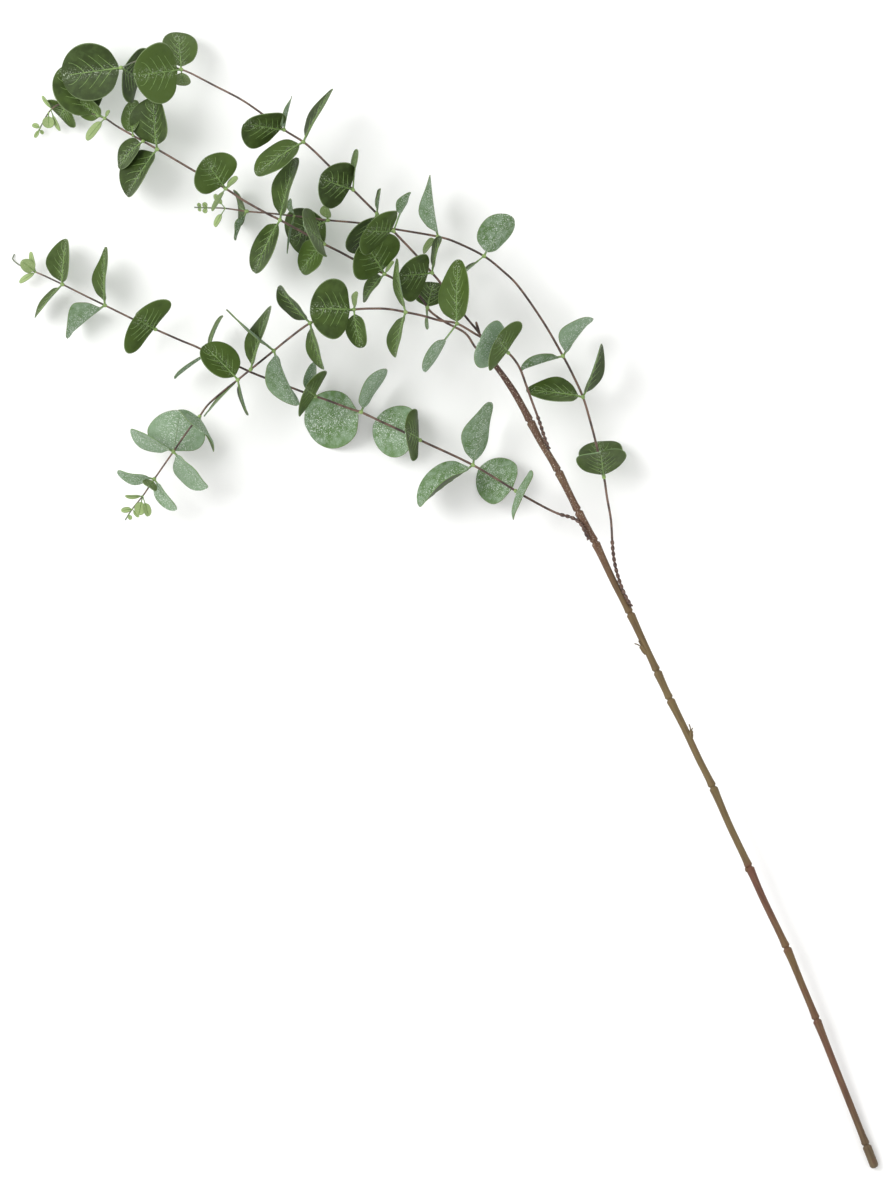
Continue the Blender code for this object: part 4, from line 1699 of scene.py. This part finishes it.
SPRIG_TOP = Sprig(
    name="sprig_top",
    route=(
        (496.3, 363.3, 53.3), (488.5, 349, 54.0), (479, 333, 54.5), (465, 316, 55.5),
        (442, 285, 57.0), (432, 273, 57.5), (415, 254, 58.5), (395, 233, 59.5),
        (377, 214, 60.0), (353, 190, 60.5), (332, 169, 60.5), (307, 145, 60.0),
        (284, 130, 58.5), (258, 111, 56.5), (240, 99, 55.0), (215, 86, 52.5),
        (190, 73, 50.0), (178, 68.5, 48.5), (160, 62, 47.0), (141, 60, 45.0), (120, 68, 43.0),
    ),
    seed=12,
    wrap=Wrap(20 * MM),
    leaves=(
        Leaf((432, 273), (400, 277), 16, 44, -35),
        Leaf((432, 273), (438.5, 237), 10, 26, -80, 10),
        Leaf((394, 231), (368, 232), 26, 46, -42, 4),
        Leaf((394, 231), (407.5, 191), 8, 20, -112, stalk=16),
        Leaf((377, 214), (379, 189), 4, 20, -88),
        Leaf((377, 214), (357, 256), -26, 33, -30),
        Leaf((353, 190), (322, 180), 26, 40, -10),
        Leaf((353, 190), (355, 151), 16, 20, -80, 10, stalk=12),
        Leaf((303, 143), (329, 88), 0, 31, -76, taper=0.5),
        Leaf((303, 143), (253, 172), -3, 31, 50, 8),
        Leaf((284, 130), (247, 126), 28, 40, -42),
        Leaf((284, 130), (289, 98), 18, 22, -100, 10),
        Leaf((181, 70), (136.5, 77), 26, 49, -8),
        Leaf((181, 70), (178, 29), -34, 28, 10),
        Leaf((181, 70), (183, 87), -14, 13, 10),
        Leaf((121, 68), (61, 76), -8, 46, 0, stalk=1.5),
        Leaf((121, 68), (142, 80), -27, 46, -14),
    ),
    stubs=(Stub((479, 333, 54.5), (476, 322, 58.0), 1.3, 0.9),),
)

SPRIG_MIDDLE = Sprig(
    name="sprig_middle",
    route=(
        (492.6, 365.3, 53.0), (485, 357, 51.5), (475, 347, 50.0), (465, 333, 48.5),
        (445, 322, 47.5), (430, 311, 47.0), (422, 299, 46.5), (412, 289, 46.5),
        (400, 282, 46.5), (384.5, 274, 46.5), (355, 260, 46.5), (340, 252, 46.5),
        (324, 244, 46.5), (306, 234, 46.0), (280, 220, 45.5), (266, 213, 45.0),
        (243, 200, 44.0), (225.5, 188.5, 43.0), (197, 172.5, 41.5), (157, 149, 37.5),
        (120, 128, 33.5), (104.6, 118, 31.0), (86, 111, 27.5), (66, 103, 23.0),
        (54, 106, 19.0), (46, 115, 15.0), (38, 130, 9.0),
    ),
    seed=13,
    wrap=Wrap(20 * MM),
    leaves=(
        Leaf((427, 308), (433, 281), -14, 27, -12, stalk=1.5),
        Leaf((427, 308), (426, 327), -18, 14, 90),
        Leaf((384.5, 274), (365, 242), 17, 47, 18),
        Leaf((384.5, 274), (361, 299), -12, 24, 66),
        Leaf((384.5, 274), (393, 261), 4, 6, -60, stalk=2),
        Leaf((324, 244), (307, 225), 32, 45, 68, 6),
        Leaf((324, 244), (299, 270), -8, 32, 48, 9, stalk=1.5),
        Leaf((280, 220), (293, 157), 6, 40, -66, 16, taper=0.35),
        Leaf((280, 220), (251, 271), -6, 36, 60, 8),
        Leaf((225.5, 188.5), (205, 160), 18, 39, 8),
        Leaf((225.5, 188.5), (237, 177), 6, 9, -60, stalk=2),
        Leaf((225.5, 188.5), (211, 210), -6, 7, 120, stalk=3),
        Leaf((157, 149), (151, 98), 5, 44, -48, 18),
        Leaf((157, 149), (124, 194), -5, 46, 62, 18),
        Leaf((143, 141), (115, 163), -25, 22, 40),
        Leaf((133, 135), (130, 98), -22, 18, -30),
        Leaf((104.6, 118), (85, 139), -4, 9, 40),
        Leaf((104.6, 118), (109, 110), 2, 5, -60, stalk=2),
        Leaf((104.6, 118), (79, 102), 0, 22, -45),
        Leaf((98, 115), (60, 67), -2, 37, 0),
        Leaf((68, 104), (58, 117), -14, 31, 7),
        Leaf((51, 108), (41, 95.5), 1, 3.5, -40, stalk=2),
        Leaf((48, 112), (48, 127.5), -1, 9.5, 10, stalk=3),
        Leaf((50, 109), (58, 130.5), -3, 5, 50, stalk=5),
        Leaf((39.5, 127), (31.5, 123.5), -1, 4, 20, stalk=1),
        Leaf((38.6, 129), (34, 137), -1, 2.8, 0, stalk=1),
        Leaf((38.6, 129), (43, 133), -1, 2.6, -20, stalk=1),
    ),
)

SPRIG_LOWER_LEFT = Sprig(
    name="sprig_lower_left",
    route=(
        (588.8, 539.5, 46.0), (585.2, 532, 46.8), (580.5, 523.5, 46.6), (574, 518.6, 44.6),
        (567, 516.2, 42.6), (559, 514, 41.0), (546, 508, 39.5),
        (526, 497, 37.0), (516, 491, 36.0), (473, 465, 34.0), (420, 440, 32.0),
        (404, 432, 31.5), (378, 420, 31.0), (361, 412, 30.5), (351, 409, 30.5),
        (327, 400, 30.0), (306, 393, 30.0), (290, 387, 30.0), (276, 382, 30.0),
        (253, 373, 30.0), (241, 367.5, 30.0), (212, 355, 30.0), (197, 347, 30.0),
        (180, 340, 29.5), (155, 329, 29.0), (133, 319, 28.0), (104.5, 305, 27.0),
        (86, 296, 25.5), (62, 284, 22.0), (43, 275, 17.0), (29, 269, 11.5),
        (18, 264, 6.0), (11.5, 258, 2.5), (13.5, 253.5, 1.2),
    ),
    seed=14,
    wrap=Wrap(36 * MM),
    leaves=(
        Leaf((516, 491), (481.5, 470.5), -50, 38, 180, stalk=6),
        Leaf((516, 491), (525, 497.5), 28, 42, -166, 5),
        Leaf((473, 465), (486, 401), 3, 42, -120, 12, taper=0.35),
        Leaf((473, 465), (416, 502), -2, 44, 70, 25, flipped=True),
        Leaf((420, 440), (376, 422.5), -20, 42, 180),
        Leaf((420, 440), (408, 431), 30, 42, 37, 4),
        Leaf((361, 412), (309, 425), -44, 46, 180, 0, pressed=True),
        Leaf((361, 412), (382.5, 367), 8, 32, -112, 10),
        Leaf((315, 396.5), (308, 391), 36, 42, 8, 4),
        Leaf((315, 396.5), (310.3, 363), 6, 30, -112, taper=0.3),
        Leaf((207.5, 354), (214.5, 315), 4, 22, -84, 10, bow=0.2),
        Leaf((207.5, 354), (172, 377), -3, 20, 96, 8),
        Leaf((155, 329), (135.5, 318), 18, 54, -12, stalk=1.5),
        Leaf((104.5, 305), (102, 247), 4, 36, -70, 18, taper=0.7),
        Leaf((104.5, 305), (64, 334.5), -3, 46, 104, 28, taper=0.5),
        Leaf((62, 284), (63.5, 238.5), 3, 38, -60, 20, taper=0.3, stalk=2),
        Leaf((62, 284), (32, 315.5), -4, 21, 76, 14, taper=0.2),
        Leaf((35, 272), (21, 261), 4, 10, 0, stalk=2),
        Leaf((35, 272), (29, 252), 3, 6, -50),
        Leaf((35, 272), (18, 282), -2, 5, 30, stalk=2),
    ),
)

SPRIG_FRONT_ARCH = Sprig(
    name="sprig_front_arch",
    route=(
        (549, 449, 51.2), (545, 439, 52.6), (539.5, 422, 56.0), (531, 399, 60.5),
        (526, 385, 63.0), (519, 367, 66.0), (508, 353, 69.0), (492, 343.5, 72.0),
        (476.5, 335, 74.5), (457, 324, 77.0), (440, 321, 78.5), (422, 316, 79.5),
        (405.6, 312.6, 80.0), (392, 310, 80.0), (378, 309, 79.5), (354, 310, 78.0),
        (332, 315, 76.0), (310.3, 323.5, 73.5), (290, 338, 71.0), (274, 351, 68.5),
        (251, 369.5, 65.0), (238, 380, 63.0), (225, 390, 60.5), (208, 405, 57.0),
        (198, 419, 54.0), (190, 428, 51.5), (173.4, 451.6, 46.0), (154.2, 479, 39.5),
        (142.5, 496, 35.0), (132, 509, 31.5), (125, 520, 29.0),
    ),
    seed=15,
    wrap=Wrap(30 * MM),
    leaves=(
        Leaf((508, 353), (499.5, 340), 31, 46, 24, 5),
        Leaf((508, 353), (478, 340), 22, 40, 180),
        Leaf((457, 324), (455.5, 260), 0, 37, -45, taper=0.35, stalk=2),
        Leaf((457, 324), (421.5, 370), -3, 23, 113, stalk=16),
        Leaf((405.6, 312.6), (393, 260), 0, 25, -77, 12, taper=0.3),
        Leaf((405.6, 312.6), (392.4, 357), 0, 38, 75),
        Leaf((354, 310), (312, 309), 20, 48, 0),
        Leaf((354, 310), (359.5, 348.5), 0, 26, 52, 6),
        Leaf((354, 310), (356.5, 293), 8, 12, -70, stalk=2),
        Leaf((310.3, 323.5), (277, 288.5), 3, 36, -72, 12),
        Leaf((310.3, 323.5), (320.7, 370.5), 0, 32, 74, 12),
        Leaf((274, 351), (225, 311.5), 0, 40, -89, 3, bow=0.03),
        Leaf((274, 351), (294, 407), 0, 42, 113, 22, taper=0.2),
        Leaf((251, 369.5), (267, 305), 0, 38, -72, 15, taper=0.3),
        Leaf((238, 380), (245.5, 416), -2, 24, 84, 10, taper=0.4),
        Leaf((238, 380), (205, 344), -4, 32, 35),
        Leaf((238, 380), (202, 414), -10, 20, 86, 6),
        Leaf((200, 417), (203, 436), 28, 46, 120),
        Leaf((173.4, 451.6), (179.5, 412.5), -18, 46, 180, stalk=1),
        Leaf((173.4, 451.6), (129.6, 432), 2, 31, -70, flipped=True),
        Leaf((173.4, 451.6), (205, 490), 0, 42, 70, flipped=True),
        Leaf((154.2, 479), (117, 474), 2, 26, -72, flipped=True),
        Leaf((154.2, 479), (173.5, 511.5), 0, 26, 68, flipped=True),
        Leaf((154.2, 479), (148, 488), 14, 13, 180, flipped=True),
        Leaf((142.5, 496), (125, 497), 1, 6, -60, stalk=2),
        Leaf((142.5, 496), (138.5, 515), -2, 9, 15, stalk=5),
        Leaf((142.5, 496), (149, 516), 1, 7, -30, stalk=6),
        Leaf((132, 509), (121, 510.5), 1, 4.2, 0, stalk=1),
        Leaf((132, 509), (138.6, 517), 1, 2.8, 0, stalk=2),
        Leaf((128.5, 514), (130.5, 519.5), 1, 3, 0, stalk=1),
    ),
)

SPRIGS = (SPRIG_RIGHT_ARCH, SPRIG_TOP, SPRIG_MIDDLE, SPRIG_LOWER_LEFT, SPRIG_FRONT_ARCH)


def hand_over(piece: bpy.types.Object, node: str) -> None:
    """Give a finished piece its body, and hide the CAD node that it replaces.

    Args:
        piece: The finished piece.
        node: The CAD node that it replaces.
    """
    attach(piece, "root")
    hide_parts(node)
    log.info("%s: %d faces", piece.name, len(piece.data.polygons))


def main() -> None:
    """Build the branch's looks and the studio round it."""
    logging.basicConfig(level=logging.INFO, format="%(name)s: %(message)s")
    workshop = Workshop.open()
    for piece in MAIN_STEM.build(workshop):
        hand_over(piece, "main_stem")
    for sprig in SPRIGS:
        for piece in sprig.build(workshop):
            hand_over(piece, sprig.name)
    Studio().build()


if __name__ == "__main__":
    main()
